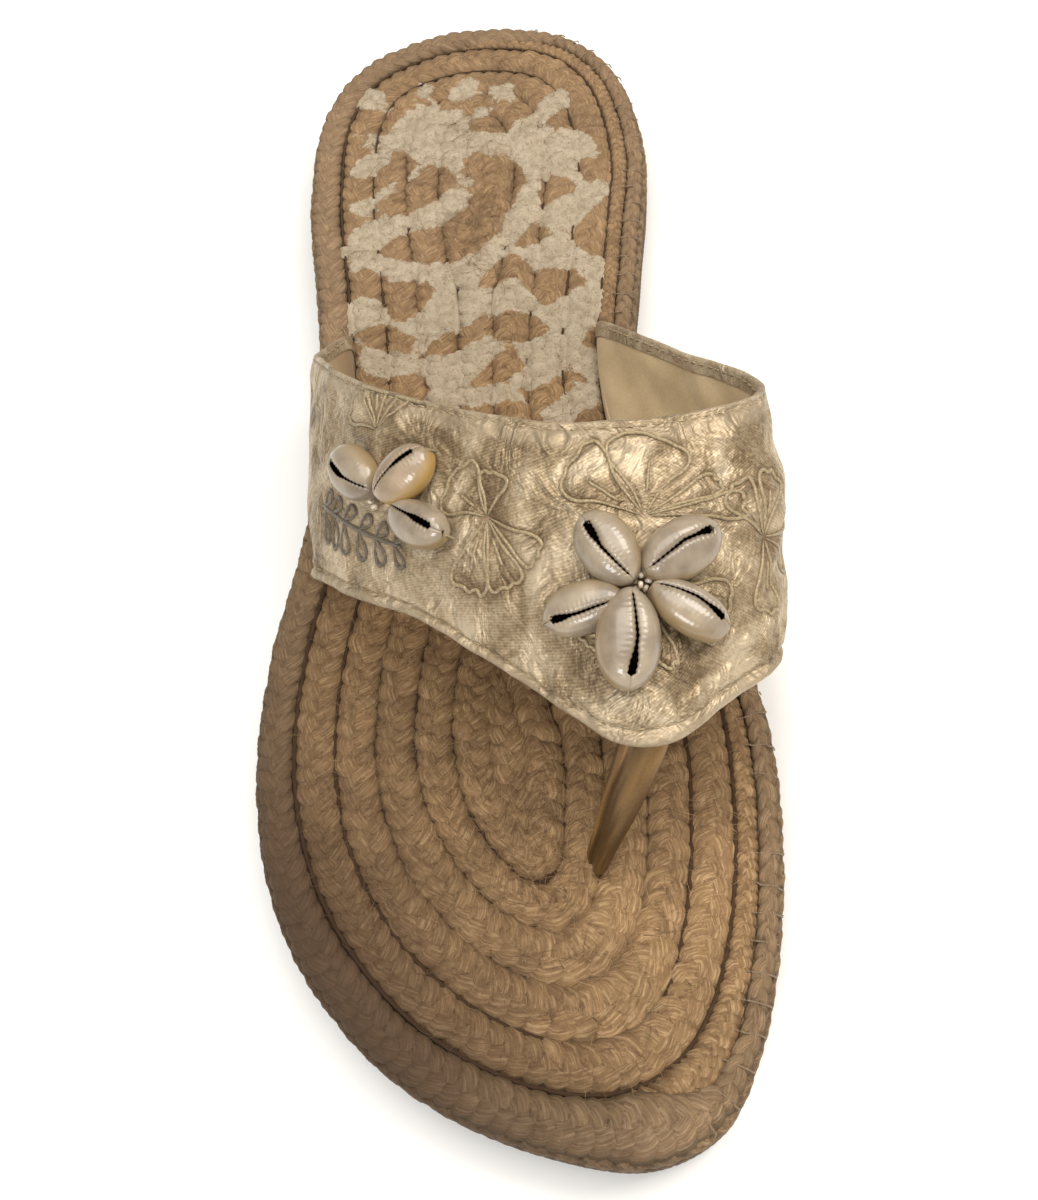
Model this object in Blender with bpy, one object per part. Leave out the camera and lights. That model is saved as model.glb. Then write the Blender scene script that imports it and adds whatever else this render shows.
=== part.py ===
# Espadrille thong sandal for the right foot: a coiled jute footbed inside a sewn edge braid,
# a jute midsole on a thin rubber outsole, a wide strap tucked into the sole on both sides,
# a leather toe post, and two flowers of cowrie shells and beads sewn to the strap.
# Metres, +Z up. The toe points to -Y, the big-toe side is +X, and the sandal stands on z = 0.

import math
from collections import namedtuple

import bmesh
import bpy
import numpy as np
from mathutils import Matrix, Vector
from mathutils.bvhtree import BVHTree

MM = 0.001
GAP = 0.3 * MM

# Sole. Thicknesses are measured to the top of the footbed.
HEEL_THICKNESS = 14.5 * MM
BALL_THICKNESS = 13.0 * MM
WEDGE_BACK_Y = 70.0 * MM
WEDGE_FRONT_Y = -35.0 * MM
TOE_SPRING = 4.0 * MM
TOE_SPRING_START_Y = -86.0 * MM
ARCH_RISE = 1.8 * MM
ARCH_CENTRE_Y = 17.0 * MM
ARCH_HALF_LENGTH = 34.0 * MM
OUTSOLE_THICKNESS = 2.6 * MM
OUTSOLE_INSET = 0.9 * MM
MIDSOLE_INSET = 0.5 * MM
FOOTBED_THICKNESS = 6.3 * MM
EDGE_BRAID_WIDTH = 6.4 * MM
EDGE_BRAID_PROUD = 0.4 * MM
LAYER_STATIONS = 44
EDGE_BRAID_STATIONS = 100
EDGE_BRAID_SIDES = 8

# Outline of the sole at the edge braid, in millimetres from the middle of the foot's length.
SoleRow = namedtuple("SoleRow", "y lateral_x medial_x")
SOLE_ROWS = (
    SoleRow(117.0, -23.2, 24.2),
    SoleRow(102.5, -33.2, 35.4),
    SoleRow(76.0, -37.6, 38.5),
    SoleRow(48.0, -37.5, 33.2),
    SoleRow(18.0, -38.0, 27.4),
    SoleRow(-10.0, -43.2, 28.6),
    SoleRow(-35.0, -50.4, 34.4),
    SoleRow(-60.0, -53.6, 38.4),
    SoleRow(-84.0, -50.2, 36.3),
    SoleRow(-104.0, -39.6, 31.2),
    SoleRow(-117.0, -26.4, 25.6),
    SoleRow(-126.2, -9.5, 18.6),
)
HEEL_TIP = (-0.5, 123.9)
TOE_TIP = (6.5, -130.2)
OUTLINE_STEPS = 14

# Strap. Heights in the table are above the footbed, in millimetres, at the middle of the wall.
STRAP_THICKNESS = 2.2 * MM
STRAP_ROOT_INSET = EDGE_BRAID_WIDTH + GAP + STRAP_THICKNESS / 2
STRAP_ROOT_DEPTH = FOOTBED_THICKNESS
STRAP_ROOT_HEIGHTS = (-STRAP_ROOT_DEPTH, -0.2 * MM, 1.6 * MM)
STRAP_CROWN = 1.6 * MM
STRAP_STEPS = 4
STRAP_COLUMNS = 10
StrapRow = namedtuple("StrapRow", "name rear_x rear_y rear_z front_x front_y front_z")
STRAP_ROWS = (
    StrapRow("lateral_side", -35.8, 23.8, 11.0, -38.2, -24.2, 7.4),
    StrapRow("lateral_shoulder", -33.2, 11.4, 22.5, -31.0, -33.3, 16.2),
    StrapRow("lateral_top", -21.5, -6.5, 35.5, -15.4, -46.0, 23.1),
    StrapRow("centre_lateral", -4.5, -18.5, 43.0, 1.5, -63.0, 27.0),
    StrapRow("tip_lateral", 9.0, -25.5, 46.0, 12.0, -73.2, 28.2),
    StrapRow("tip_medial", 17.0, -27.5, 46.5, 19.0, -74.2, 28.2),
    StrapRow("centre_medial", 29.0, -26.5, 44.0, 27.5, -69.0, 26.0),
    StrapRow("medial_shoulder", 41.0, -21.5, 38.5, 37.0, -61.0, 20.5),
    StrapRow("medial_fold", 44.0, -15.0, 33.5, 38.8, -53.5, 15.0),
    StrapRow("medial_side", 33.5, 4.0, 20.0, 31.4, -39.0, 8.0),
)
LATERAL_ROOT_Y = (35.0 * MM, -21.0 * MM)
MEDIAL_ROOT_Y = (28.0 * MM, -30.0 * MM)

# Toe post: a folded strip that turns from edge-on at the sole to flat under the strap's tip.
POST_BASE = (4.6 * MM, -84.0 * MM)
POST_BASE_WIDTH = 6.2 * MM
POST_TOP_WIDTH = 7.0 * MM
POST_THICKNESS = 3.2 * MM
POST_TAB_THICKNESS = 1.6 * MM
POST_TAB_LENGTH = 11.0 * MM
POST_BASE_TURN = math.radians(-72.0)
POST_TIP_SETBACK = 1.6 * MM
POST_SPAN_STEPS = 6

# Cowrie shells: half shells lying flat on the strap with the slit outwards.
# Angle is measured in the strap's surface, 0 towards the big-toe side and 90 towards the heel.
# Turn is how far the shell's own length swings from that angle.
ShellRow = namedtuple("ShellRow", "name angle reach length width height turn")
CENTRE_FLOWER = (18.2 * MM, -52.4 * MM)
CENTRE_SHELLS = (
    ShellRow("cowrie_centre_1", 124.0, 7.8, 12.6, 8.6, 4.8, -7.0),
    ShellRow("cowrie_centre_2", 32.0, 8.5, 13.8, 8.8, 4.9, -12.0),
    ShellRow("cowrie_centre_3", -47.0, 9.0, 13.0, 7.0, 4.5, 4.0),
    ShellRow("cowrie_centre_4", -105.5, 9.6, 15.0, 9.2, 5.4, 6.5),
    ShellRow("cowrie_centre_5", -167.0, 9.7, 12.2, 7.2, 4.4, -2.0),
)
SIDE_FLOWER = (-21.7 * MM, -23.2 * MM)
SIDE_SHELLS = (
    ShellRow("cowrie_side_1", 124.0, 6.1, 11.8, 8.2, 4.5, 27.0),
    ShellRow("cowrie_side_2", 11.5, 9.3, 12.8, 7.7, 4.6, 11.0),
    ShellRow("cowrie_side_3", -28.5, 13.9, 12.8, 7.0, 4.4, 1.0),
)
SHELL_STATIONS = 12
SHELL_ARC_DEGREES = (-22, 8, 36, 60, 76, 90, 104, 120, 144, 172, 202)
SHELL_WAIST_HEIGHT = 0.3
SLIT_WIDTH = 1.3 * MM
SLIT_DEPTH = 1.5 * MM
BEAD_RADIUS = 0.6 * MM
BEAD_RING_RADIUS = 1.3 * MM
CENTRE_RING_BEADS = 5

Finish = namedtuple("Finish", "name colour roughness metallic")
FINISHES = {
    "rubber": Finish("rubber", (0.055, 0.036, 0.022), 0.75, 0.0),
    "dark_jute": Finish("dark_jute", (0.12, 0.07, 0.035), 0.95, 0.0),
    "jute": Finish("jute", (0.36, 0.22, 0.10), 0.92, 0.0),
    "satin": Finish("satin", (0.62, 0.50, 0.28), 0.38, 0.25),
    "gold_leather": Finish("gold_leather", (0.30, 0.22, 0.09), 0.30, 0.75),
    "shell": Finish("shell", (0.70, 0.61, 0.50), 0.15, 0.0),
    "glass": Finish("glass", (0.72, 0.66, 0.55), 0.12, 0.0),
}


def clear_scene():
    for thing in list(bpy.data.objects):
        bpy.data.objects.remove(thing, do_unlink=True)


def finish(key):
    spec = FINISHES[key]
    material = bpy.data.materials.get(spec.name) or bpy.data.materials.new(spec.name)
    material.use_nodes = True
    shader = material.node_tree.nodes["Principled BSDF"]
    shader.inputs["Base Color"].default_value = (*spec.colour, 1.0)
    shader.inputs["Roughness"].default_value = spec.roughness
    shader.inputs["Metallic"].default_value = spec.metallic
    return material


def add_object(name, vertices, faces, finish_key=None):
    mesh = bpy.data.meshes.new(name)
    mesh.from_pydata([tuple(map(float, v)) for v in vertices], [], faces)
    work = bmesh.new()
    work.from_mesh(mesh)
    bmesh.ops.recalc_face_normals(work, faces=work.faces)
    work.to_mesh(mesh)
    work.free()
    made = bpy.data.objects.new(name, mesh)
    bpy.context.collection.objects.link(made)
    if finish_key:
        mesh.materials.append(finish(finish_key))
        mesh.shade_smooth()
        mesh.set_sharp_from_angle(angle=math.radians(50))
    return made


def cut(target, cutter):
    cutter.hide_render = True
    cutter.display_type = "WIRE"
    modifier = target.modifiers.new("cut_" + cutter.name, "BOOLEAN")
    modifier.operation = "DIFFERENCE"
    modifier.solver = "EXACT"
    modifier.object = cutter


def smoothstep(value):
    value = min(1.0, max(0.0, value))
    return value * value * (3.0 - 2.0 * value)


def blend(first, second, at, start, stop):
    return ((stop - at) * first + (at - start) * second) / (stop - start)


def catmull_rom(points, steps, closed=False):
    # Centripetal spacing keeps the curve from overshooting where the points lie unevenly.
    points = np.asarray(points, float)
    count = len(points)
    if closed:
        points = np.vstack([points[-1], points, points[:2]])
        spans = count
    else:
        points = np.vstack([2 * points[0] - points[1], points, 2 * points[-1] - points[-2]])
        spans = count - 1
    curve = []
    for span in range(spans):
        p = points[span:span + 4]
        gaps = [math.sqrt(np.linalg.norm(p[k + 1] - p[k])) for k in range(3)]
        knots = np.concatenate([[0.0], np.cumsum(gaps)])
        for step in range(steps):
            at = knots[1] + (knots[2] - knots[1]) * step / steps
            line = [blend(p[k], p[k + 1], at, knots[k], knots[k + 1]) for k in range(3)]
            bend = [blend(line[k], line[k + 1], at, knots[k], knots[k + 2]) for k in range(2)]
            curve.append(blend(bend[0], bend[1], at, knots[1], knots[2]))
    if not closed:
        curve.append(points[-2])
    return np.array(curve)


def sole_bottom(y):
    # Flat under the heel and the ball, with a shallow arch between and a spring at the toe.
    reach = abs(y - ARCH_CENTRE_Y) / ARCH_HALF_LENGTH
    arch = ARCH_RISE * (1.0 - smoothstep(reach))
    run = (TOE_SPRING_START_Y - y) / (TOE_SPRING_START_Y - TOE_TIP[1] * MM)
    return arch + TOE_SPRING * max(0.0, run) ** 2


def footbed_top(y):
    wedge = smoothstep((y - WEDGE_FRONT_Y) / (WEDGE_BACK_Y - WEDGE_FRONT_Y))
    run = (TOE_SPRING_START_Y - y) / (TOE_SPRING_START_Y - TOE_TIP[1] * MM)
    spring = TOE_SPRING * max(0.0, run) ** 2
    return BALL_THICKNESS + (HEEL_THICKNESS - BALL_THICKNESS) * wedge + spring


def outline():
    medial = [(row.medial_x, row.y) for row in SOLE_ROWS]
    lateral = [(row.lateral_x, row.y) for row in reversed(SOLE_ROWS)]
    points = [HEEL_TIP] + medial + [TOE_TIP] + lateral
    return catmull_rom(np.array(points) * MM, OUTLINE_STEPS, closed=True)


def inset_outline(inset):
    # The outline runs from the heel down the medial side, so its inward side is on the right.
    edge = outline()
    along = np.roll(edge, -1, axis=0) - np.roll(edge, 1, axis=0)
    along /= np.linalg.norm(along, axis=1)[:, None]
    inward = np.column_stack([along[:, 1], -along[:, 0]])
    return edge + inward * inset


def edge_sides(inset):
    # Splits the inset outline into its two sides, each as x against rising y.
    edge = inset_outline(inset)
    heel = int(edge[:, 1].argmax())
    edge = np.roll(edge, -heel, axis=0)
    toe = int(edge[:, 1].argmin())
    medial = edge[:toe + 1][::-1]
    lateral = np.vstack([edge[toe:], edge[:1]])
    return lateral, medial


def side_x(side, y):
    return float(np.interp(y, side[:, 1], side[:, 0]))


def sole_layer(name, inset, low, high, finish_key):
    # Box sections across the foot, closer together towards the two round ends.
    lateral, medial = edge_sides(inset)
    toe_y = medial[0, 1] + 0.15 * MM
    heel_y = medial[-1, 1] - 0.15 * MM
    vertices = []
    for station in range(LAYER_STATIONS + 1):
        y = toe_y + (heel_y - toe_y) * (1 - math.cos(math.pi * station / LAYER_STATIONS)) / 2
        left, right = side_x(lateral, y), side_x(medial, y)
        bottom, top = low(y), high(y)
        vertices += [(left, y, bottom), (right, y, bottom), (right, y, top), (left, y, top)]
    faces = [(0, 1, 2, 3)]
    for station in range(LAYER_STATIONS):
        a = 4 * station
        for k in range(4):
            n = (k + 1) % 4
            faces.append((a + k, a + n, a + 4 + n, a + 4 + k))
    last = 4 * LAYER_STATIONS
    faces.append((last + 3, last + 2, last + 1, last))
    return add_object(name, vertices, faces, finish_key)


def outsole():
    return sole_layer(
        "outsole", OUTSOLE_INSET, sole_bottom, lambda y: sole_bottom(y) + OUTSOLE_THICKNESS, "rubber"
    )


def midsole():
    return sole_layer(
        "midsole",
        MIDSOLE_INSET,
        lambda y: sole_bottom(y) + OUTSOLE_THICKNESS + GAP,
        lambda y: footbed_top(y) - FOOTBED_THICKNESS - GAP,
        "dark_jute",
    )


def footbed():
    return sole_layer(
        "footbed",
        EDGE_BRAID_WIDTH + GAP,
        lambda y: footbed_top(y) - FOOTBED_THICKNESS,
        footbed_top,
        "jute",
    )


def edge_braid():
    # A rope of rounded-square section laid round the rim on top of the midsole.
    path = inset_outline(EDGE_BRAID_WIDTH / 2)
    inner = inset_outline(EDGE_BRAID_WIDTH)
    pick = np.linspace(0, len(path), EDGE_BRAID_STATIONS, endpoint=False).astype(int)
    height = FOOTBED_THICKNESS + EDGE_BRAID_PROUD
    sides = EDGE_BRAID_SIDES
    vertices = []
    for index in pick:
        x, y = path[index]
        inward = (inner[index] - path[index]) / (EDGE_BRAID_WIDTH / 2)
        middle = footbed_top(y) + EDGE_BRAID_PROUD - height / 2
        for k in range(sides):
            angle = 2 * math.pi * (k + 0.5) / sides
            across = math.copysign(abs(math.cos(angle)) ** 0.6, math.cos(angle)) * EDGE_BRAID_WIDTH / 2
            up = math.copysign(abs(math.sin(angle)) ** 0.6, math.sin(angle)) * height / 2
            vertices.append((x + inward[0] * across, y + inward[1] * across, middle + up))
    faces = []
    for station in range(len(pick)):
        a = station * sides
        b = ((station + 1) % len(pick)) * sides
        for k in range(sides):
            n = (k + 1) % sides
            faces.append((a + k, a + n, b + n, b + k))
    return add_object("edge_braid", vertices, faces, "jute")


def strap_surface():
    # The middle of the strap's wall: rows run from the sole on the little-toe side, over the
    # foot, to the sole on the big-toe side; columns run from the rear edge to the front edge.
    lateral, medial = edge_sides(STRAP_ROOT_INSET)
    share = np.linspace(0.0, 1.0, STRAP_COLUMNS + 1)

    def root_rows(side, ends):
        rows = []
        for height in STRAP_ROOT_HEIGHTS:
            ys = ends[0] + (ends[1] - ends[0]) * share
            rows.append([(side_x(side, y), y, footbed_top(y) + height) for y in ys])
        return rows

    rows = root_rows(lateral, LATERAL_ROOT_Y)
    for row in STRAP_ROWS:
        rear = np.array([row.rear_x, row.rear_y, row.rear_z]) * MM
        front = np.array([row.front_x, row.front_y, row.front_z]) * MM
        line = rear + (front - rear) * share[:, None]
        line[:, 2] += [footbed_top(y) for y in line[:, 1]]
        rows.append(line)
    rows += reversed(root_rows(medial, MEDIAL_ROOT_Y))
    rows = np.array(rows)
    grid = np.stack([catmull_rom(rows[:, k], STRAP_STEPS) for k in range(STRAP_COLUMNS + 1)], axis=1)

    across = np.gradient(grid, axis=0)
    forward = np.gradient(grid, axis=1)
    outward = np.cross(forward, across)
    outward /= np.linalg.norm(outward, axis=2)[:, :, None]
    root = len(STRAP_ROOT_HEIGHTS) * STRAP_STEPS
    steps = len(grid) - 1
    fade = [smoothstep(min(i, steps - i) / root - 0.6) for i in range(steps + 1)]
    bulge = STRAP_CROWN * np.outer(fade, 4 * share * (1 - share))
    return grid + outward * bulge[:, :, None]


def strap(grid):
    rows, columns = grid.shape[:2]
    faces = []
    for i in range(rows - 1):
        for j in range(columns - 1):
            a = i * columns + j
            faces.append((a, a + columns, a + columns + 1, a + 1))
    made = add_object("strap", grid.reshape(-1, 3), faces, "satin")
    thick = made.modifiers.new("wall", "SOLIDIFY")
    thick.thickness = STRAP_THICKNESS
    thick.offset = 0.0
    thick.use_even_offset = True
    return made


def strap_tree(strap_object):
    work = bmesh.new()
    work.from_mesh(strap_object.data)
    tree = BVHTree.FromBMesh(work)
    work.free()
    return tree


def strap_slot(name, side_index, ends):
    # The room that a strap end takes between the edge braid and the footbed.
    outer = edge_sides(EDGE_BRAID_WIDTH - GAP)[side_index]
    inner = edge_sides(STRAP_ROOT_INSET + STRAP_THICKNESS / 2 + GAP)[side_index]
    rear, front = ends[0] + 2 * GAP, ends[1] - 2 * GAP
    steps = 12
    vertices = []
    for step in range(steps + 1):
        y = rear + (front - rear) * step / steps
        low = footbed_top(y) - FOOTBED_THICKNESS - 1 * MM
        high = footbed_top(y) + 1 * MM
        outer_x, inner_x = side_x(outer, y), side_x(inner, y)
        vertices += [(outer_x, y, low), (inner_x, y, low), (inner_x, y, high), (outer_x, y, high)]
    faces = [(0, 1, 2, 3)]
    for step in range(steps):
        a = 4 * step
        for k in range(4):
            n = (k + 1) % 4
            faces.append((a + k, a + 4 + k, a + 4 + n, a + n))
    last = 4 * steps
    faces.append((last, last + 3, last + 2, last + 1))
    return add_object(name, vertices, faces)


def under_strap(tree, x, y, drop):
    hit, normal, _, _ = tree.ray_cast(Vector((x, y, 0.0)), Vector((0.0, 0.0, 1.0)))
    if normal.z < 0:
        normal = -normal
    return np.array(hit - normal * drop)


def toe_post(tree):
    base_x, base_y = POST_BASE
    tip_x = (STRAP_ROWS[4].front_x + STRAP_ROWS[5].front_x) / 2 * MM
    tip_y = STRAP_ROWS[4].front_y * MM + POST_TIP_SETBACK
    floor = footbed_top(base_y)
    under = STRAP_THICKNESS / 2 + GAP
    front = under_strap(tree, tip_x, tip_y, under + POST_THICKNESS * 0.55)
    middle = under_strap(tree, tip_x, tip_y + POST_TAB_LENGTH * 0.45, under + POST_TAB_THICKNESS * 0.8)
    back = under_strap(tree, tip_x, tip_y + POST_TAB_LENGTH, under + POST_TAB_THICKNESS * 0.6)
    foot = np.array([base_x, base_y, floor - FOOTBED_THICKNESS + GAP])
    lip = np.array([base_x, base_y, floor + 0.3 * MM])
    shin = lip + (front - lip) * np.array([0.46, 0.36, 0.52])
    path = catmull_rom([foot, lip, shin, front, middle, back], POST_SPAN_STEPS)

    length = np.concatenate([[0.0], np.cumsum(np.linalg.norm(np.diff(path, axis=0), axis=1))])
    stem_end = length[3 * POST_SPAN_STEPS]
    along = np.gradient(path, axis=0)
    vertices = []
    corners = [(1, 0.45), (0.8, 1), (-0.8, 1), (-1, 0.45), (-1, -0.45), (-0.8, -1), (0.8, -1), (1, -0.45)]
    for index, point in enumerate(path):
        rise = smoothstep((length[index] - FOOTBED_THICKNESS) / (stem_end - FOOTBED_THICKNESS))
        flat = smoothstep((length[index] / stem_end - 0.8) / 0.45)
        turn = POST_BASE_TURN * (1 - rise)
        forward = along[index] / np.linalg.norm(along[index])
        wide = np.array([math.cos(turn), math.sin(turn), 0.0])
        wide -= forward * wide.dot(forward)
        wide /= np.linalg.norm(wide)
        deep = np.cross(forward, wide)
        half_width = (POST_BASE_WIDTH + (POST_TOP_WIDTH - POST_BASE_WIDTH) * rise) / 2
        half_depth = (POST_THICKNESS + (POST_TAB_THICKNESS - POST_THICKNESS) * flat) / 2
        for w, d in corners:
            vertices.append(point + wide * half_width * w + deep * half_depth * d)
    count = len(corners)
    faces = [tuple(range(count))]
    for index in range(len(path) - 1):
        a = index * count
        for k in range(count):
            n = (k + 1) % count
            faces.append((a + k, a + n, a + count + n, a + count + k))
    last = (len(path) - 1) * count
    faces.append(tuple(last + k for k in reversed(range(count))))
    return add_object("toe_post", vertices, faces, "gold_leather")


def post_hole():
    x, y = POST_BASE
    slack = 2 * GAP
    size = (POST_BASE_WIDTH + 2 * slack, POST_THICKNESS + 2 * slack, 4 * FOOTBED_THICKNESS)
    work = bmesh.new()
    bmesh.ops.create_cube(work, size=1.0)
    bmesh.ops.scale(work, vec=size, verts=work.verts)
    bmesh.ops.rotate(work, matrix=Matrix.Rotation(POST_BASE_TURN, 3, "Z"), verts=work.verts)
    bmesh.ops.translate(work, vec=(x, y, footbed_top(y)), verts=work.verts)
    mesh = bpy.data.meshes.new("post_hole")
    work.to_mesh(mesh)
    work.free()
    made = bpy.data.objects.new("post_hole", mesh)
    bpy.context.collection.objects.link(made)
    return made


def shell_points(row):
    # A flat-backed egg, its length along X with the outer end at +X, slit along the top.
    half_length, half_width, height = row.length * MM / 2, row.width * MM / 2, row.height * MM
    points = []
    for station in range(SHELL_STATIONS + 1):
        s = -0.985 * math.cos(math.pi * station / SHELL_STATIONS)
        swell = (1 - abs(s) ** 2.2) ** 0.55
        slit = SLIT_DEPTH * (1 - s ** 4) * (0.75 + 0.25 * s)
        for degrees in SHELL_ARC_DEGREES:
            angle = math.radians(degrees)
            across = half_width * swell * math.cos(angle)
            waist = height * SHELL_WAIST_HEIGHT
            up = waist + (height - waist) * (0.25 + 0.75 * swell) * math.sin(angle)
            if degrees == 90:
                up -= slit
            if degrees in (SHELL_ARC_DEGREES[0], SHELL_ARC_DEGREES[-1]):
                up = 0.0
            lip = SLIT_WIDTH / 2 * (0.7 + 0.3 * s) * swell
            if degrees in (76, 104):
                across = math.copysign(lip, across)
            points.append((half_length * s, across, up))
    return points


def shell(row, frame):
    points = shell_points(row)
    count = len(SHELL_ARC_DEGREES)
    faces = [tuple(range(count))]
    for station in range(SHELL_STATIONS):
        a = station * count
        for k in range(count):
            n = (k + 1) % count
            faces.append((a + k, a + n, a + count + n, a + count + k))
    last = SHELL_STATIONS * count
    faces.append(tuple(last + k for k in reversed(range(count))))
    made = add_object(row.name, points, faces, "shell")
    made.matrix_world = frame
    return made


def surface_frame(tree, point, heading=None):
    # A frame on the strap at the spot nearest to a point, its X along the heading.
    spot, normal, _, _ = tree.find_nearest(Vector(point))
    if normal.z < 0 and abs(normal.z) > 0.2:
        normal = -normal
    heading = Vector(heading or (1.0, 0.0, 0.0))
    x_axis = (heading - normal * heading.dot(normal)).normalized()
    y_axis = normal.cross(x_axis)
    turn = Matrix((x_axis, y_axis, normal)).transposed().to_4x4()
    return Matrix.Translation(spot) @ turn


def seat(tree, frame, points, clearance):
    # Raises a flat-backed piece until its lowest point clears the strap's face.
    normal = frame.to_3x3().col[2]
    lowest = 1.0
    for point in points:
        world = frame @ Vector(point)
        spot, _, _, distance = tree.find_nearest(world)
        side = 1.0 if (world - spot).dot(normal) > 0 else -1.0
        lowest = min(lowest, side * distance)
    return Matrix.Translation(normal * (STRAP_THICKNESS / 2 + clearance - lowest)) @ frame


def flower_frame(tree, centre):
    top, normal, _, _ = tree.ray_cast(Vector((centre[0], centre[1], 1.0)), Vector((0.0, 0.0, -1.0)))
    return surface_frame(tree, top)


def flower(tree, centre, shells, beads):
    middle = flower_frame(tree, centre)
    for row in shells:
        angle = math.radians(row.angle)
        direction = middle.to_3x3() @ Vector((math.cos(angle), math.sin(angle), 0.0))
        angle += math.radians(row.turn)
        heading = middle.to_3x3() @ Vector((math.cos(angle), math.sin(angle), 0.0))
        place = surface_frame(tree, middle.translation + direction * row.reach * MM, heading)
        base = [p for p in shell_points(row) if p[2] == 0.0]
        shell(row, seat(tree, place, base, GAP))
    for name, x, y, lift in beads:
        place = surface_frame(tree, middle @ Vector((x, y, 0.0)))
        normal = place.to_3x3().col[2]
        bead(name, place.translation + normal * (STRAP_THICKNESS / 2 + GAP + BEAD_RADIUS + lift))


def bead(name, position):
    work = bmesh.new()
    bmesh.ops.create_icosphere(work, subdivisions=1, radius=BEAD_RADIUS)
    mesh = bpy.data.meshes.new(name)
    work.to_mesh(mesh)
    work.free()
    mesh.materials.append(finish("glass"))
    mesh.shade_smooth()
    made = bpy.data.objects.new(name, mesh)
    made.location = position
    bpy.context.collection.objects.link(made)
    return made


def centre_beads():
    rows = []
    for k in range(CENTRE_RING_BEADS):
        angle = math.radians(85 + 360 * k / CENTRE_RING_BEADS)
        x, y = BEAD_RING_RADIUS * math.cos(angle), BEAD_RING_RADIUS * math.sin(angle)
        rows.append(("bead_centre_%d" % (k + 1), x, y, 0.0))
    rows.append(("bead_centre_%d" % (CENTRE_RING_BEADS + 1), 0.0, 0.0, 1.1 * MM))
    return rows


def side_beads():
    return [
        ("bead_side_1", -0.6 * MM, -1.6 * MM, 0.0),
        ("bead_side_2", 0.6 * MM, -3.0 * MM, 0.0),
    ]


def stand_on_origin():
    # Hangs every piece on one empty, and moves that so the origin is mid-footprint.
    pieces = [thing for thing in bpy.data.objects if thing.type == "MESH"]
    bpy.context.view_layer.update()
    graph = bpy.context.evaluated_depsgraph_get()
    corners = []
    for piece in pieces:
        if piece.hide_render:
            continue
        solid = piece.evaluated_get(graph)
        corners += [solid.matrix_world @ Vector(corner) for corner in solid.bound_box]
    low = [min(corner[k] for corner in corners) for k in range(2)]
    high = [max(corner[k] for corner in corners) for k in range(2)]
    anchor = bpy.data.objects.new("sandal", None)
    bpy.context.collection.objects.link(anchor)
    for piece in pieces:
        piece.parent = anchor
    anchor.location = (-(low[0] + high[0]) / 2, -(low[1] + high[1]) / 2, 0.0)
    bpy.context.view_layer.update()


def main():
    clear_scene()
    outsole()
    midsole()
    bed = footbed()
    edge_braid()
    upper = strap(strap_surface())
    tree = strap_tree(upper)
    toe_post(tree)
    cut(bed, strap_slot("lateral_slot", 0, LATERAL_ROOT_Y))
    cut(bed, strap_slot("medial_slot", 1, MEDIAL_ROOT_Y))
    cut(bed, post_hole())
    flower(tree, CENTRE_FLOWER, CENTRE_SHELLS, centre_beads())
    flower(tree, SIDE_FLOWER, SIDE_SHELLS, side_beads())
    stand_on_origin()


main()
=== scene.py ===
# Right-foot espadrille thong sandal: a coiled jute footbed with a stitched rope rim, a gold satin
# strap with embroidery and cowrie flowers, and a folded gold toe post.
# Lengths are in metres. The tables are in millimetres, measured from the middle of the foot.

import math
import random

import bpy
import numpy as np
from mathutils import Matrix, Vector, noise
from mathutils.bvhtree import BVHTree
from mathutils.kdtree import KDTree


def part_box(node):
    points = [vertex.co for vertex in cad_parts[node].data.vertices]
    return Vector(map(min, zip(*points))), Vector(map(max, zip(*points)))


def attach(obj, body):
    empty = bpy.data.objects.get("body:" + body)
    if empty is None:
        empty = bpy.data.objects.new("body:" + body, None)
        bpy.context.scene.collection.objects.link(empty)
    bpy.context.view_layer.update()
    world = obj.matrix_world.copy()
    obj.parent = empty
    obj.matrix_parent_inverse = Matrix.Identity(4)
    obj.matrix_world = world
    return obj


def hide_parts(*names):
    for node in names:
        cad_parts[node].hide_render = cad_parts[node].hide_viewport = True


mm = 0.001
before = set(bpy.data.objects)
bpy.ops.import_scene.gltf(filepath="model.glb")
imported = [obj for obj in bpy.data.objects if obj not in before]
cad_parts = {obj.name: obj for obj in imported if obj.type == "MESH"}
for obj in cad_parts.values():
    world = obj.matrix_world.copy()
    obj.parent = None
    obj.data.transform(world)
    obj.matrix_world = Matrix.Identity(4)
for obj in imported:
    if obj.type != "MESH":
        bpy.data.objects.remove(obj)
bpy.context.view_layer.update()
random.seed(41)
dice = np.random.default_rng(41)
print("frame loaded,", len(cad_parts), "nodes")


def hexColour(code):
    parts = [int(code[k:k + 2], 16) / 255 for k in (1, 3, 5)]
    linear = [c / 12.92 if c <= 0.04045 else ((c + 0.055) / 1.055) ** 2.4 for c in parts]
    return (*linear, 1.0)


def setInputs(node, inputs):
    # A value, a hex colour, a socket, or a node that gives its first output.
    for name, value in inputs.items():
        if isinstance(value, bpy.types.Node):
            value = value.outputs[0]
        if isinstance(value, bpy.types.NodeSocket):
            node.id_data.links.new(value, node.inputs[name])
        else:
            node.inputs[name].default_value = hexColour(value) if isinstance(value, str) else value


def addNode(tree, kind, inputs=None, ramp=(), **settings):
    made = tree.nodes.new("ShaderNode" + kind)
    for name, value in settings.items():
        setattr(made, name, value)
    if ramp:
        elements = made.color_ramp.elements
        while len(elements) < len(ramp):
            elements.new(0.5)
        for element, (at, colour) in zip(elements, ramp):
            element.position = at
            element.color = hexColour(colour) if isinstance(colour, str) else (colour,) * 3 + (1.0,)
    setInputs(made, inputs or {})
    return made


def startMaterial(name, plain):
    made = bpy.data.materials.new(name)
    made.use_nodes = True
    shader = made.node_tree.nodes["Principled BSDF"]
    setInputs(shader, plain)
    return made, made.node_tree, shader


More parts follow.
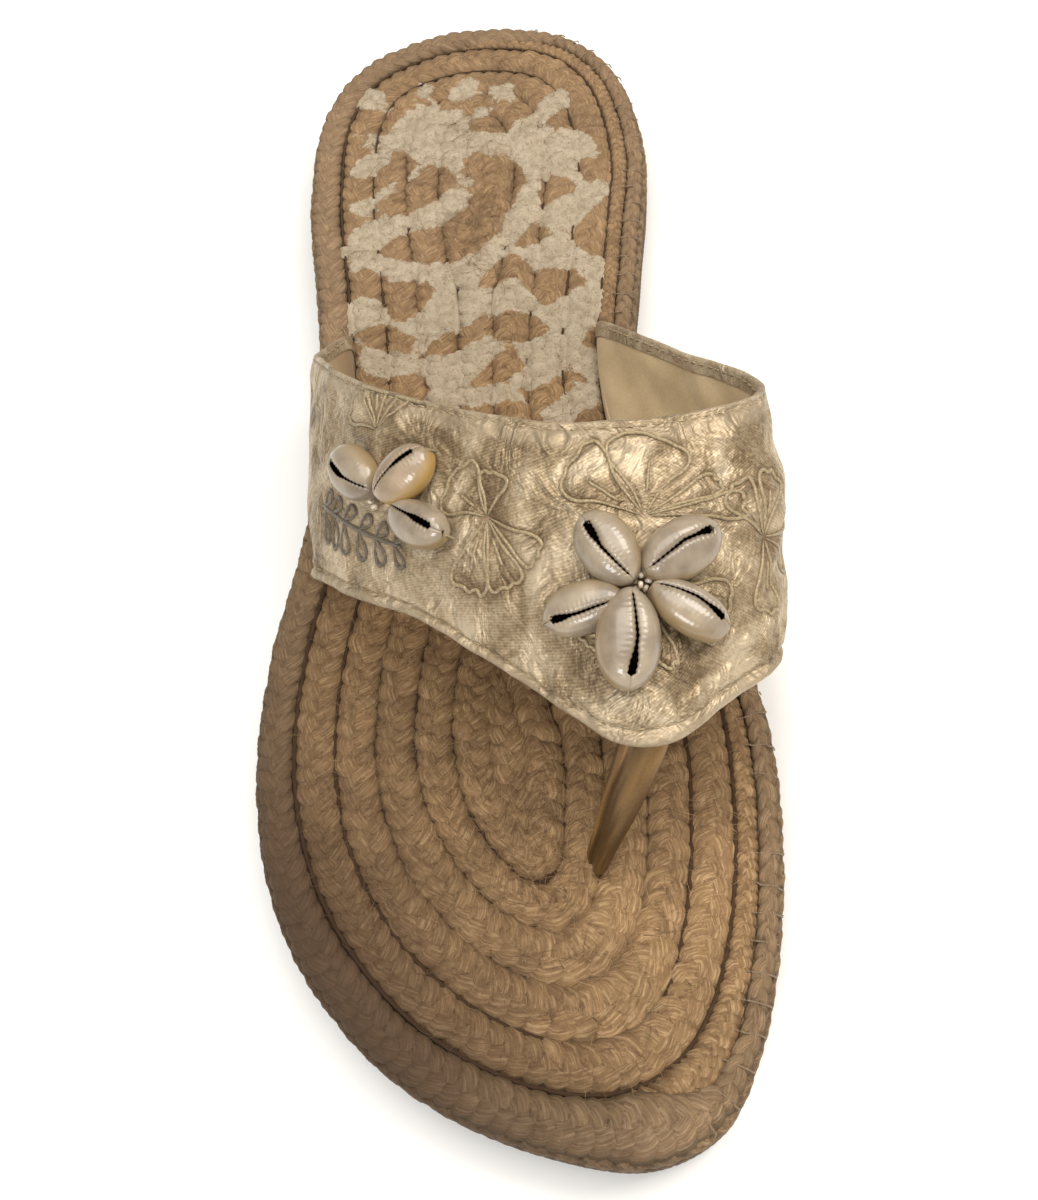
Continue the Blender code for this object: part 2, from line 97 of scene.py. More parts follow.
def smoothStep(x, low=0.0, high=1.0):
    t = np.clip((np.asarray(x, float) - low) / (high - low), 0.0, 1.0)
    return t * t * (3.0 - 2.0 * t)


def bell(x, centre, width, power=2):
    return np.exp(-(np.abs(x - centre) / width) ** power)


def unit(vectors):
    return vectors / np.maximum(np.linalg.norm(vectors, axis=-1, keepdims=True), 1e-12)


def rotatePair(first, second, degrees):
    c, s = math.cos(math.radians(degrees)), math.sin(math.radians(degrees))
    return first * c + second * s, second * c - first * s


def pairUp(first, second):
    return np.stack(np.broadcast_arrays(first, second), axis=-1)


def ringAngles(count):
    return 2 * np.pi * np.arange(count) / count - np.pi / 2


def roundedPower(value, power):
    # Squares off a sine or cosine, so that an oval becomes a rounded box.
    return np.sign(value) * np.abs(value) ** power


def noiseOver(u, v, seed):
    u, v = np.broadcast_arrays(u, v)
    spots = zip(u.ravel(), v.ravel())
    return np.array([noise.noise(Vector((a, b, seed))) for a, b in spots]).reshape(u.shape)


def runOf(path):
    # The length along a path, up to each of its points.
    return np.concatenate([[0.0], np.cumsum(np.linalg.norm(np.diff(path, axis=0), axis=1))])


def inwardOf(loop):
    step = np.roll(loop, -1, axis=0) - np.roll(loop, 1, axis=0)
    return unit(np.column_stack([step[:, 1], -step[:, 0]]))


def gapTo(path, other):
    return np.sqrt(((path[:, None] - other[None]) ** 2).sum(axis=2)).min(axis=1)


def calm(values, span, closed=True):
    # A running mean, so that the width of a lane changes slowly.
    padded = np.pad(values, span // 2, mode="wrap" if closed else "edge")
    return np.convolve(padded, np.ones(span) / span, mode="valid")


def curveThrough(points, steps, closed=False):
    # Centripetal Catmull-Rom, the same curve that the solids are built on.
    points = np.asarray(points, float)
    spans = len(points) if closed else len(points) - 1
    if closed:
        points = np.vstack([points[-1], points, points[:2]])
    else:
        points = np.vstack([2 * points[0] - points[1], points, 2 * points[-1] - points[-2]])
    curve = []
    for span in range(spans):
        p = points[span:span + 4]
        gaps = [math.sqrt(np.linalg.norm(p[k + 1] - p[k])) for k in range(3)]
        knots = np.concatenate([[0.0], np.cumsum(gaps)])
        at = knots[1] + (knots[2] - knots[1]) * np.arange(steps)[:, None] / steps
        line = [((knots[k + 1] - at) * p[k] + (at - knots[k]) * p[k + 1]) / gaps[k] for k in range(3)]
        bend = [((knots[k + 2] - at) * line[k] + (at - knots[k]) * line[k + 1])
                / (knots[k + 2] - knots[k]) for k in range(2)]
        curve.append(((knots[2] - at) * bend[0] + (at - knots[1]) * bend[1]) / gaps[1])
    if not closed:
        curve.append(points[-2][None])
    return np.vstack(curve)


def evenly(path, count, closed):
    # The path again with evenly spaced points; a closed one comes back with its first point twice.
    line = np.vstack([path, path[:1]]) if closed else np.asarray(path, float)
    run = runOf(line)
    at = np.linspace(0.0, run[-1], count + 1 if closed else count)
    return np.column_stack([np.interp(at, run, line[:, k]) for k in range(line.shape[1])]), run[-1]


def alongOf(path, closed=False):
    if not closed:
        return unit(np.gradient(path, axis=0))
    step = np.roll(path[:-1], -1, axis=0) - np.roll(path[:-1], 1, axis=0)
    return unit(np.vstack([step, step[:1]]))


def acrossAt(grid, known, share):
    # Every row of a grid, sampled at new shares of its width.
    share = np.broadcast_to(share, (len(grid), np.shape(share)[-1]))
    rows = [[np.interp(at, known, row[:, k]) for k in range(3)] for at, row in zip(share, grid)]
    return np.array(rows).transpose(0, 2, 1)


def surfaceNormal(grid):
    return unit(np.cross(np.gradient(grid, axis=1), np.gradient(grid, axis=0)))


def newStock():
    return {"size": 0, **{key: [] for key in ("points", "quads", "caps", "grain", "tone", "depth", "paint")}}


def addGrid(stock, grid, grain, tone=0.5, depth=1.0, paint=-1.0, ring=False, caps=False):
    # A sheet of quads, rows along and columns round. A ring closes its columns.
    rows, columns = grid.shape[:2]
    i, j = np.meshgrid(np.arange(rows - 1), np.arange(columns if ring else columns - 1), indexing="ij")
    k = (j + 1) % columns
    corners = [i * columns + j, i * columns + k, (i + 1) * columns + k, (i + 1) * columns + j]
    start = stock["size"]
    stock["quads"].append(np.stack(corners, axis=-1).reshape(-1, 4) + start)
    if caps:
        stock["caps"].append([start + c for c in reversed(range(columns))])
        stock["caps"].append([start + (rows - 1) * columns + c for c in range(columns)])
    stock["points"].append(grid.reshape(-1, 3))
    stock["grain"].append(np.broadcast_to(grain, (rows, columns, 2)).reshape(-1, 2))
    for key, value in (("tone", tone), ("depth", depth), ("paint", paint)):
        stock[key].append(np.broadcast_to(np.asarray(value, float), (rows, columns)).reshape(-1))
    stock["size"] += rows * columns


def addTube(stock, path, wide, high=None, up=(0, 0, 1), sides=6, *, tone, depth=1.0, paint=-1.0,
            taper=False, turn=0.0):
    # A thread or strand along a path: an oval section held level with the up direction.
    path = np.asarray(path, float)
    side = unit(np.cross(alongOf(path), np.broadcast_to(np.asarray(up, float), path.shape)))
    top = np.cross(side, alongOf(path))
    angle = ringAngles(sides)[None, :, None]
    swell = np.ones(len(path))
    if taper:
        swell = np.sqrt(np.clip(1 - np.linspace(-1, 1, len(path)) ** 6, 0.06, 1))
    high = (swell * (wide if high is None else high))[:, None, None]
    wide = (swell * wide)[:, None, None]
    ring = side[:, None] * (wide * np.cos(angle)) + top[:, None] * (high * np.sin(angle))
    run = runOf(path)[:, None]
    girth = 2 * np.pi * float(np.mean(wide))
    grain = pairUp(np.arange(sides)[None] / sides * girth + run * turn, run + tone * 0.7)
    addGrid(stock, path[:, None] + ring, grain, tone, depth, paint, ring=True, caps=True)


def meshPiece(name, stock, materials, slot, *stands, slots=None):
    # Every piece is drawn in the last's own axes, moved to the frame and tied to the one body.
    mesh = bpy.data.meshes.new(name)
    points = np.vstack(stock["points"]) + originShift
    faces = np.vstack(stock["quads"]).tolist() + stock["caps"]
    mesh.from_pydata(points.tolist(), [], faces)
    grain = np.column_stack([np.vstack(stock["grain"]), np.zeros(len(points))])
    mesh.attributes.new("grain", "FLOAT_VECTOR", "POINT").data.foreach_set("vector", grain.ravel())
    for key in ("tone", "depth", "paint"):
        mesh.attributes.new(key, "FLOAT", "POINT").data.foreach_set("value", np.concatenate(stock[key]))
    for material in materials:
        mesh.materials.append(material)
    if slots is not None:
        mesh.polygons.foreach_set("material_index", np.asarray(slots, np.int32))
    mesh.polygons.foreach_set("use_smooth", np.ones(len(mesh.polygons), bool))
    mesh.update()
    made = bpy.data.objects.new(name, mesh)
    bpy.context.scene.collection.objects.link(made)
    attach(made, "root")
    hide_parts(*stands)
    print("  made", name, len(faces), "faces")


def treeOf(grid):
    rows, columns = grid.shape[:2]
    faces = [(i * columns + j, (i + 1) * columns + j, (i + 1) * columns + j + 1, i * columns + j + 1)
             for i in range(rows - 1) for j in range(columns - 1)]
    return BVHTree.FromPolygons([tuple(p) for p in grid.reshape(-1, 3)], faces)


# The last: the outline and floor heights that every piece shares.
sole = {
    "heelThickness": 14.5 * mm,
    "ballThickness": 13.0 * mm,
    "wedgeBackY": 70.0 * mm,
    "wedgeFrontY": -35.0 * mm,
    "toeSpring": 4.0 * mm,
    "toeSpringStartY": -86.0 * mm,
    "archRise": 1.8 * mm,
    "archCentreY": 17.0 * mm,
    "archHalfLength": 34.0 * mm,
    "outsoleThickness": 2.6 * mm,
    "rimWidth": 6.4 * mm,
    "rimHeight": 6.7 * mm,
    "rimProud": 0.4 * mm,
    "edgeRounding": 0.8 * mm,
    "heelTip": (-0.5, 123.9),
    "toeTip": (6.5, -130.2),
    # y, little-toe side x, big-toe side x
    "rows": (
        (117.0, -23.2, 24.2), (102.5, -33.2, 35.4), (76.0, -37.6, 38.5), (48.0, -37.5, 33.2),
        (18.0, -38.0, 27.4), (-10.0, -43.2, 28.6), (-35.0, -50.4, 34.4), (-60.0, -53.6, 38.4),
        (-84.0, -50.2, 36.3), (-104.0, -39.6, 31.2), (-117.0, -26.4, 25.6), (-126.2, -9.5, 18.6),
    ),
}

bigToeSide = [(row[2], row[0]) for row in sole["rows"]]
littleToeSide = [(row[1], row[0]) for row in reversed(sole["rows"])]
rimLine = curveThrough(
    np.array([sole["heelTip"]] + bigToeSide + [sole["toeTip"]] + littleToeSide) * mm, 24, closed=True)
rimInward = inwardOf(rimLine)
braidLow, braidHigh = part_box("edge_braid")
originShift = np.array([
    (braidLow.x + braidHigh.x - rimLine[:, 0].min() - rimLine[:, 0].max()) / 2,
    (braidLow.y + braidHigh.y - rimLine[:, 1].min() - rimLine[:, 1].max()) / 2,
    0.0,
])


def springAt(y):
    run = (sole["toeSpringStartY"] - y) / (sole["toeSpringStartY"] - sole["toeTip"][1] * mm)
    return sole["toeSpring"] * np.maximum(0.0, run) ** 2


def bottomAt(y):
    y = np.asarray(y, float)
    arch = sole["archRise"] * (1 - smoothStep(np.abs(y - sole["archCentreY"]) / sole["archHalfLength"]))
    return arch + springAt(y)


def topAt(y):
    y = np.asarray(y, float)
    wedge = smoothStep(y, sole["wedgeFrontY"], sole["wedgeBackY"])
    return sole["ballThickness"] + (sole["heelThickness"] - sole["ballThickness"]) * wedge + springAt(y)


def roundedLoop(path, rounding, toeRounding=0.0):
    # Evens out a closed path and rounds its corners; toeRounding is the larger radius used at the toe.
    ring, length = evenly(path, 1024, closed=True)
    ring = ring[:-1]
    waves = np.fft.fftfreq(len(ring), d=length / len(ring))

    def smoothed(radius):
        keep = np.exp(-2 * (np.pi * radius * waves) ** 2)
        return np.column_stack([np.fft.ifft(np.fft.fft(ring[:, k]) * keep).real for k in range(2)])

    fine = smoothed(rounding)
    if toeRounding <= rounding:
        return fine
    return fine + (smoothed(toeRounding) - fine) * smoothStep(-fine[:, 1:], 45 * mm, 100 * mm)


def offsetLoop(distance):
    return roundedLoop(rimLine + rimInward * distance, sole["edgeRounding"])


def insetLoop(depth, lowY=-1.0, highY=1.0, rounding=1.6 * mm, toeRounding=0.0, base=rimLine):
    inset = base + inwardOf(base) * depth
    keep = (gapTo(inset, base) > depth - 0.2 * mm) & (inset[:, 1] > lowY) & (inset[:, 1] < highY)
    return roundedLoop(inset[keep], rounding, toeRounding)


def sideX(inset, y, side):
    # Where the inset outline crosses a given y, on the big-toe side (1) or the other (-1).
    edge = rimLine + rimInward * inset
    heel, toe = edge[:, 1].argmax(), edge[:, 1].argmin()
    edge = np.roll(edge, -heel, axis=0)
    toe = (toe - heel) % len(edge)
    run = edge[:toe + 1][::-1] if side > 0 else np.vstack([edge[toe:], edge[:1]])
    return np.interp(y, run[:, 1], run[:, 0])


def tinted(tree, colour, value, span, shares, tint, **settings):
    # Mixes a tint into a colour, by as much as the shares say over a span of some value.
    share = addNode(tree, "MapRange", {"Value": value, "From Min": span[0], "From Max": span[1],
                                       "To Min": shares[0], "To Max": shares[1]}, **settings)
    return addNode(tree, "MixRGB", {"Fac": share, "Color1": colour, "Color2": tint})


def dress(shader, colour, height, strength, distance):
    # The end of a material: its colour, and a relief of some real height.
    bump = addNode(shader.id_data, "Bump", {"Height": height, "Strength": strength, "Distance": distance})
    setInputs(shader, {"Base Color": colour, "Normal": bump})


def fibreNoise(tree, across, along, detail=3.0, seed=0.0):
    # Streaks that follow a strand: fine across it and long along it, both in metres.
    grain = addNode(tree, "Attribute", attribute_name="grain").outputs["Vector"]
    stretched = addNode(tree, "VectorMath", {0: grain, 1: (1 / across, 1 / along, 1.0), 2: (seed,) * 3},
                        operation="MULTIPLY_ADD")
    return addNode(tree, "TexNoise", {"Vector": stretched, "Scale": 1.0, "Detail": detail, "Roughness": 0.6},
                   noise_dimensions="2D")


def mottle(tree, size, ramp, detail=2.0):
    # A cloudy change of shade with patches of a real size.
    place = addNode(tree, "TexCoord").outputs["Object"]
    cloud = addNode(tree, "TexNoise", {"Vector": place, "Scale": 1 / size, "Detail": detail})
    return addNode(tree, "ValToRGB", {"Fac": cloud}, ramp)


def juteMaterial(name, shades, paintedGrooveShadow, painted=False):
    # Plaited jute yarn, spun and uncoated: matt, straw to brown, with streaky fibres about 0.1 mm
    # wide that are drawn three times as coarse so that they show. Down in the gaps it is painted dark, as
    # painted shade.
    made, tree, shader = startMaterial(name, {
        "Roughness": 0.82, "Specular IOR Level": 0.28, "IOR": 1.5,
        "Sheen Weight": 0.12, "Sheen Roughness": 0.45, "Sheen Tint": "#E0C79A"})
    place = addNode(tree, "TexCoord").outputs["Object"]
    tone, depth = (addNode(tree, "Attribute", attribute_name=key).outputs["Fac"] for key in ("tone", "depth"))
    # The first noise paints glints on the fibres as light flecks, and also roughens the relief.
    paintedGlint, cloud, fuzzy = (
        addNode(tree, "TexNoise", {"Vector": place, "Scale": 1 / size, "Detail": detail, "Roughness": rough})
        for size, detail, rough in ((0.7 * mm, 3.0, 0.7), (16 * mm, 3.0, 0.5), (2.4 * mm, 4.0, 0.62)))
    streak = fibreNoise(tree, 0.32 * mm, 3.4 * mm)
    fine = fibreNoise(tree, 0.144 * mm, 1.5 * mm, seed=7.3)
    mixed = addNode(tree, "Math", {0: fine, 1: 0.45, 2: streak}, operation="MULTIPLY_ADD")
    colour = addNode(tree, "ValToRGB", {"Fac": mixed}, [*zip((0.32, 0.72, 1.12), shades)])
    # Painted highlight: light flecks of glint on the fibres.
    colour = tinted(tree, colour, paintedGlint, (0.56, 0.72), (0.0, 0.55), shades[2])
    shift = addNode(tree, "Math", {0: tone, 1: 0.5, 2: cloud}, operation="MULTIPLY_ADD")
    value = addNode(tree, "MapRange", {"Value": shift, "From Min": 0.35, "From Max": 1.1,
                                       "To Min": 0.76, "To Max": 1.34})
    colour = addNode(tree, "HueSaturation", {"Color": colour, "Value": value, "Saturation": 0.94})
    # Rosy brown and olive patches of fuzz, 2 to 3 mm across.
    colour = tinted(tree, colour, fuzzy, (0.52, 0.68), (0.0, 0.42), shades[0])
    colour = tinted(tree, colour, fuzzy, (0.48, 0.34), (0.0, 0.30), "#8A7148")
    # Painted shade darkens it towards the little toe. The heel half has faded.
    axes = addNode(tree, "SeparateXYZ", {0: place})
    paintedShadeRun = addNode(tree, "Math", {0: axes.outputs["Y"], 1: 0.55, 2: axes.outputs["X"]},
                    operation="MULTIPLY_ADD")
    colour = tinted(tree, colour, paintedShadeRun, (-98 * mm, -34 * mm), (0.92, 0.0), "#3A281B",
                    interpolation_type="SMOOTHSTEP")
    colour = tinted(tree, colour, axes.outputs["Y"], (0.0, 60 * mm), (0.0, 0.24), "#866F58")
    # Painted shade: the depth attribute darkens the jute towards the painted groove shadow colour in the
    # gaps.
    groove = addNode(tree, "ValToRGB", {"Fac": depth}, [(0.20, 1.0), (0.54, 0.52), (0.88, 0.0)])
    colour = addNode(tree, "MixRGB", {"Fac": groove, "Color1": colour, "Color2": paintedGrooveShadow})
    height = addNode(tree, "Math", {0: paintedGlint, 1: 0.5, 2: mixed}, operation="MULTIPLY_ADD")
    if painted:
        # Old white fabric paint: chalky, cracked, worn off the high fibres and missing in the gaps.
        paint = addNode(tree, "Attribute", attribute_name="paint").outputs["Fac"]
        frayed, speck = (
            addNode(tree, "TexNoise",
                    {"Vector": place, "Scale": 1 / size, "Detail": detail, "Roughness": rough})
            for size, detail, rough in ((2.6 * mm, 6.0, 0.72), (0.45 * mm, 3.0, 0.7)))
        ragged = addNode(tree, "Math", {0: frayed, 1: 5.0, 2: -2.4}, operation="MULTIPLY_ADD")
        edge = addNode(tree, "Math", {0: paint, 1: ragged}, operation="ADD")
        inside, worn, shallow = (
            addNode(tree, "MapRange", {"Value": source, "From Min": least, "From Max": most})
            for source, least, most in ((edge, -0.15, 0.25), (speck, 0.30, 0.46), (depth, 0.0, 0.14)))
        held = addNode(tree, "Math", {0: inside, 1: worn}, operation="MULTIPLY")
        cover = addNode(tree, "Math", {0: held, 1: shallow}, operation="MULTIPLY")
        thin = addNode(tree, "Math", {0: cover, 1: 0.88}, operation="MULTIPLY")
        chalk = addNode(tree, "ValToRGB", {"Fac": frayed}, [(0.3, "#93866F"), (0.6, "#B3A691")])
        colour = addNode(tree, "MixRGB", {"Fac": thin, "Color1": colour, "Color2": chalk})
        height = addNode(tree, "Math", {0: cover, 1: 0.35, 2: height}, operation="MULTIPLY_ADD")
    dress(shader, colour, height, 0.8, 0.18 * mm)
    return made


def rubberMaterial():
    # Calendered crepe rubber: dark brown, matt, with a fine pebbled skin.
    made, tree, shader = startMaterial("crepeRubber", {"Roughness": 0.72, "IOR": 1.52})
    place = addNode(tree, "TexCoord").outputs["Object"]
    pebble = addNode(tree, "TexVoronoi", {"Vector": place, "Scale": 1 / (0.9 * mm)})
    colour = mottle(tree, 9 * mm, [(0.3, "#2E2118"), (0.7, "#4B382A")], 4.0)
    dress(shader, colour, pebble, 0.5, 0.15 * mm)
    return made


def satinMaterial():
    # Polyester satin with a foil sheen: a diagonal twill about 0.2 mm apart, drawn at 0.45 mm so that it
    # shows, and a painted glitter with soft painted highlight and shade patches, from straw gold to grey
    # brown.
    made, tree, shader = startMaterial("goldSatin", {
        "Metallic": 0.42, "Roughness": 0.46, "Sheen Weight": 0.2, "Sheen Roughness": 0.3,
        "Sheen Tint": "#F0E6CF", "Specular IOR Level": 0.5})
    grain = addNode(tree, "Attribute", attribute_name="grain").outputs["Vector"]
    place = addNode(tree, "TexCoord").outputs["Object"]
    weave = []
    for slant in (0.9, -1.1):
        turned = addNode(tree, "VectorRotate", {"Vector": grain, "Angle": slant}, rotation_type="Z_AXIS")
        weave.append(addNode(tree, "TexWave", {
            "Vector": turned, "Scale": 0.314 / (0.47 * mm), "Distortion": 1.1, "Detail": 2.0,
            "Detail Scale": 0.8}).outputs["Fac"])
    threads = addNode(tree, "Math", {0: weave[0], 1: 0.6, 2: weave[1]}, operation="MULTIPLY_ADD")
    paintedSparkle = addNode(tree, "TexNoise", {"Vector": place, "Scale": 1 / (0.55 * mm), "Detail": 2.0})
    # The 11 mm cloud paints soft highlight and shade patches into the colour.
    cloud = addNode(tree, "TexNoise",
                    {"Vector": place, "Scale": 1 / (11 * mm), "Detail": 4.0, "Distortion": 0.8})
    dimmed = addNode(tree, "Math", {0: paintedSparkle, 1: 0.6}, operation="MULTIPLY")
    fine = addNode(tree, "Math", {0: threads, 1: 0.11, 2: dimmed}, operation="MULTIPLY_ADD")
    mixed = addNode(tree, "Math", {0: cloud, 1: 1.7, 2: fine}, operation="MULTIPLY_ADD")
    scaled = addNode(tree, "MapRange", {"Value": mixed, "From Min": 0.88, "From Max": 1.54})
    colour = addNode(tree, "ValToRGB", {"Fac": scaled},
                     [(0.05, "#66533A"), (0.42, "#937F61"), (0.90, "#C0AE92")])
    plain = addNode(tree, "Attribute", attribute_name="paint").outputs["Fac"]
    duller = addNode(tree, "Math", {0: plain, 1: 0.7}, operation="MULTIPLY")
    colour = addNode(tree, "MixRGB", {"Fac": duller, "Color1": colour, "Color2": "#A39177"})
    # Painted shade: the depth attribute darkens the satin beside the cords, at the needle holes and in the
    # front seam.
    crease = addNode(tree, "Attribute", attribute_name="depth").outputs["Fac"]
    colour = tinted(tree, colour, crease, (0.15, 0.8), (0.6, 0.0), "#6B5338")
    glint = addNode(tree, "MapRange", {"Value": fine, "From Min": 0.25, "From Max": 0.65,
                                       "To Min": 0.56, "To Max": 0.34})
    crumple = addNode(tree, "TexNoise", {"Vector": place, "Scale": 1 / (7.5 * mm), "Detail": 3.0,
                                         "Roughness": 0.55, "Distortion": 1.2})
    soft = addNode(tree, "Bump", {"Height": crumple, "Strength": 1.0, "Distance": 2.4 * mm})
    bump = addNode(tree, "Bump", {"Height": fine, "Strength": 0.4, "Distance": 0.12 * mm, "Normal": soft})
    setInputs(shader, {"Base Color": colour, "Roughness": glint, "Normal": bump})
    return made


def liningMaterial():
    # Coated sueded lining: flat warm tan, soft, with a faint nap.
    made, tree, shader = startMaterial("suededLining", {
        "Roughness": 0.68, "Sheen Weight": 0.2, "Sheen Roughness": 0.5})
    place = addNode(tree, "TexCoord").outputs["Object"]
    nap, cloud = (addNode(tree, "TexNoise", {"Vector": place, "Scale": 1 / size, "Detail": detail})
                  for size, detail in ((0.5 * mm, 4.0), (14 * mm, 3.0)))
    mixed = addNode(tree, "Math", {0: nap, 1: 0.4, 2: cloud}, operation="MULTIPLY_ADD")
    clean = addNode(tree, "ValToRGB", {"Fac": mixed}, [(0.5, "#B99F77"), (0.9, "#D0BA92")])
    # A low tone paints shade, turning the lining dark brown.
    paintedShading = addNode(tree, "Attribute", attribute_name="tone").outputs["Fac"]
    colour = addNode(tree, "MixRGB", {"Fac": paintedShading, "Color1": "#74593A", "Color2": clean})
    dress(shader, colour, nap, 0.3, 0.08 * mm)
    return made


def threadMaterial(name, shades, roughness, metallic=0.0):
    # Twisted sewing thread: two plies that show as slanting ridges about 0.5 mm apart.
    made, tree, shader = startMaterial(name, {
        "Roughness": roughness, "Metallic": metallic, "Sheen Weight": 0.2})
    twist = fibreNoise(tree, 0.35 * mm, 0.5 * mm, detail=2.0)
    colour = addNode(tree, "ValToRGB", {"Fac": twist}, [(0.3, shades[0]), (0.7, shades[1])])
    dress(shader, colour, twist, 0.6, 0.12 * mm)
    return made


def goldLeatherMaterial():
    # Foil-coated leather strip: brown gold and softly metallic, with faint creases where it was folded.
    made, tree, shader = startMaterial("foiledLeather", {"Metallic": 0.45, "Roughness": 0.36})
    place = addNode(tree, "TexCoord").outputs["Object"]
    crease = fibreNoise(tree, 2.6 * mm, 22.0 * mm, detail=2.0)
    grain = addNode(tree, "TexNoise", {"Vector": place, "Scale": 1 / (0.5 * mm), "Detail": 2.0})
    mixed = addNode(tree, "Math", {0: grain, 1: 0.25, 2: crease}, operation="MULTIPLY_ADD")
    colour = addNode(tree, "ValToRGB", {"Fac": mixed},
                     [(0.40, "#553F25"), (0.62, "#6A4F2E"), (0.84, "#86673D")])
    # The tone attribute paints light and shade round the post's section.
    tone = addNode(tree, "Attribute", attribute_name="tone").outputs["Fac"]
    value = addNode(tree, "MapRange", {"Value": tone, "To Min": 0.45, "To Max": 1.4})
    colour = addNode(tree, "HueSaturation", {"Color": colour, "Value": value})
    dress(shader, colour, mixed, 0.3, 0.12 * mm)
    return made


def shellMaterial(name, shades, stain):
    # Cowrie shell, polished by the animal: porcelain gloss, pinkish white with a warmer flank, painted black
    # down into the slit as painted shade.
    made, tree, shader = startMaterial(name, {
        "Roughness": 0.3, "IOR": 1.53, "Specular IOR Level": 0.45, "Coat Weight": 0.4, "Coat Roughness": 0.05,
        "Subsurface Weight": 0.08, "Subsurface Scale": 0.8 * mm})
    base = mottle(tree, 4.5 * mm, [(0.3, shades[0]), (0.7, shades[1])], 3.0)
    flank = addNode(tree, "Attribute", attribute_name="paint").outputs["Fac"]
    tone = addNode(tree, "Attribute", attribute_name="tone").outputs["Fac"]
    stained = tinted(tree, base, flank, (0.12, 0.75), (0.0, 1.0), stain)
    setInputs(shader, {"Base Color": tinted(tree, "#0B0807", tone, (0.35, 0.75), (0.0, 1.0), stained)})
    return made


def shellHollowMaterial():
    # The unlit inside of the shell behind its slit: bare, matt and nearly black.
    made, tree, shader = startMaterial("shellHollow", {"Roughness": 0.95, "Specular IOR Level": 0.0})
    setInputs(shader, {"Base Color": mottle(tree, 0.8 * mm, [(0.4, "#070504"), (0.7, "#120D0A")])})
    return made


def beadMaterial():
    # Pressed glass seed bead with a lustre finish: cream, bright point highlights.
    made, tree, shader = startMaterial("lustreBead", {"Roughness": 0.16, "IOR": 1.52, "Coat Weight": 0.5})
    setInputs(shader, {"Base Color": mottle(tree, 1.2 * mm, [(0.35, "#BBA98D"), (0.65, "#E2D6C2")])})
    return made


plaitedJute = juteMaterial("plaitedJute", ("#5A4228", "#7F613E", "#A68861"), "#3E2816", painted=True)
ropeJute = juteMaterial("ropeJute", ("#57432C", "#796044", "#9C8162"), "#3A2916")
# The side wall's jute: darker in its own colour and also with painted shade.
darkJute = juteMaterial("darkJuteWithPaintedShade", ("#3B2819", "#5F452E", "#80613F"), "#24160D")
# Jute painted dark with the shade of the gaps, for the lacing and the board that show down between the
# plaits.
grooveJute = juteMaterial("jutePaintedGapShade", ("#482E18", "#664828", "#81603C"), "#2C1A0C")
crepeRubber = rubberMaterial()
goldSatin = satinMaterial()
suededLining = liningMaterial()
seamThread = threadMaterial("waxedLinenThread", ("#705B46", "#8A745B"), 0.8)
strapThread = threadMaterial("polyesterThread", ("#7F6D50", "#AC9A76"), 0.45, 0.1)
motifThread = threadMaterial("rayonEmbroideryThread", ("#7C6A4E", "#AB9974"), 0.42, 0.1)
sprigThread = threadMaterial("darkRayonThread", ("#473E31", "#6D614D"), 0.46)
foiledLeather = goldLeatherMaterial()
paleShell = shellMaterial("cowrieShell", ("#7C6E5E", "#A3947E"), "#8F7A5A")
warmShell = shellMaterial("warmCowrieShell", ("#84725D", "#A6927A"), "#A88850")
shellHollow = shellHollowMaterial()
lustreBead = beadMaterial()
print("materials ready")


# The footbed: loops of three-strand plait, one inside the other. The last two values say how far a plait
# stands up, and how much lower it lies on the little-toe side.
braid = {"width": 7.2 * mm, "height": 3.4 * mm, "period": 10.0 * mm, "strandWidth": 4.1 * mm,
         "strandHeight": 2.5 * mm, "overlap": 1.15, "fill": 0.8, "sides": 8, "stepsPerPeriod": 12,
         "raise": 0.0, "sunk": 0.0}
narrowBraid = {"width": 3.0 * mm, "height": 2.6 * mm, "period": 5.4 * mm, "strandWidth": 1.8 * mm,
               "strandHeight": 1.5 * mm, "overlap": 1.16, "fill": 0.0, "sides": 6, "stepsPerPeriod": 9,
               "raise": 0.0, "sunk": 1.4 * mm}
rimBraid = {"width": 7.2 * mm, "height": 3.4 * mm, "period": 9.4 * mm, "strandWidth": 4.2 * mm,
            "strandHeight": 2.5 * mm, "overlap": 1.0, "fill": 0.0, "sides": 8, "stepsPerPeriod": 16,
            "raise": 0.25 * mm, "sunk": 0.0, "outer": 1.0 * mm, "inner": 4.7 * mm}
coilShape = {
    "grooveInset": 7.8 * mm,
    "toeRounding": 13.0 * mm,
    "lobeRounding": 2.4 * mm,
    "heelLobeY": 46.0 * mm,
    "ballLobeY": -6.0 * mm,
    "lacingRadius": 0.26 * mm,
    "bridgeWidth": 1.25 * mm,
    "bridgeHeight": 0.50 * mm,
    "bridgeDepth": 0.98 * mm,
}

# A generic worn beach drawing in broad strokes, in mm: sun, palm, waves and rubbed patches.
drawing = {
    "sun": (-9.0, 91.0, 9.0),
    "rays": (9, 12.5, 17.5, 3.0),
    "trunk": ((5.0, 50.0), (9.5, 62.0), (12.0, 74.0), (11.0, 86.0)),
    "trunkWidth": 6.2,
    "crown": (11.0, 85.0),
    # degrees, reach, droop
    "fronds": ((150, 19, 12), (92, 17, 3), (52, 17, 6), (12, 16, 12), (-30, 15, 12)),
    "frondWidth": 5.2,
    # level, thickness, shift
    "waves": ((50.0, 8.5, 0.0), (37.5, 6.6, 1.9), (25.5, 7.4, 0.6), (13.5, 5.4, 2.6), (3.0, 4.0, 1.0)),
    # both ends and the width
    "patches": ((-25, 60, -6, 70, 7.0), (-26, 72, -18, 76, 4.4), (15, 60, 27, 66, 6.5),
                (-16, 31, 4, 43, 6.0), (6, 18, 22, 31, 5.5)),
}


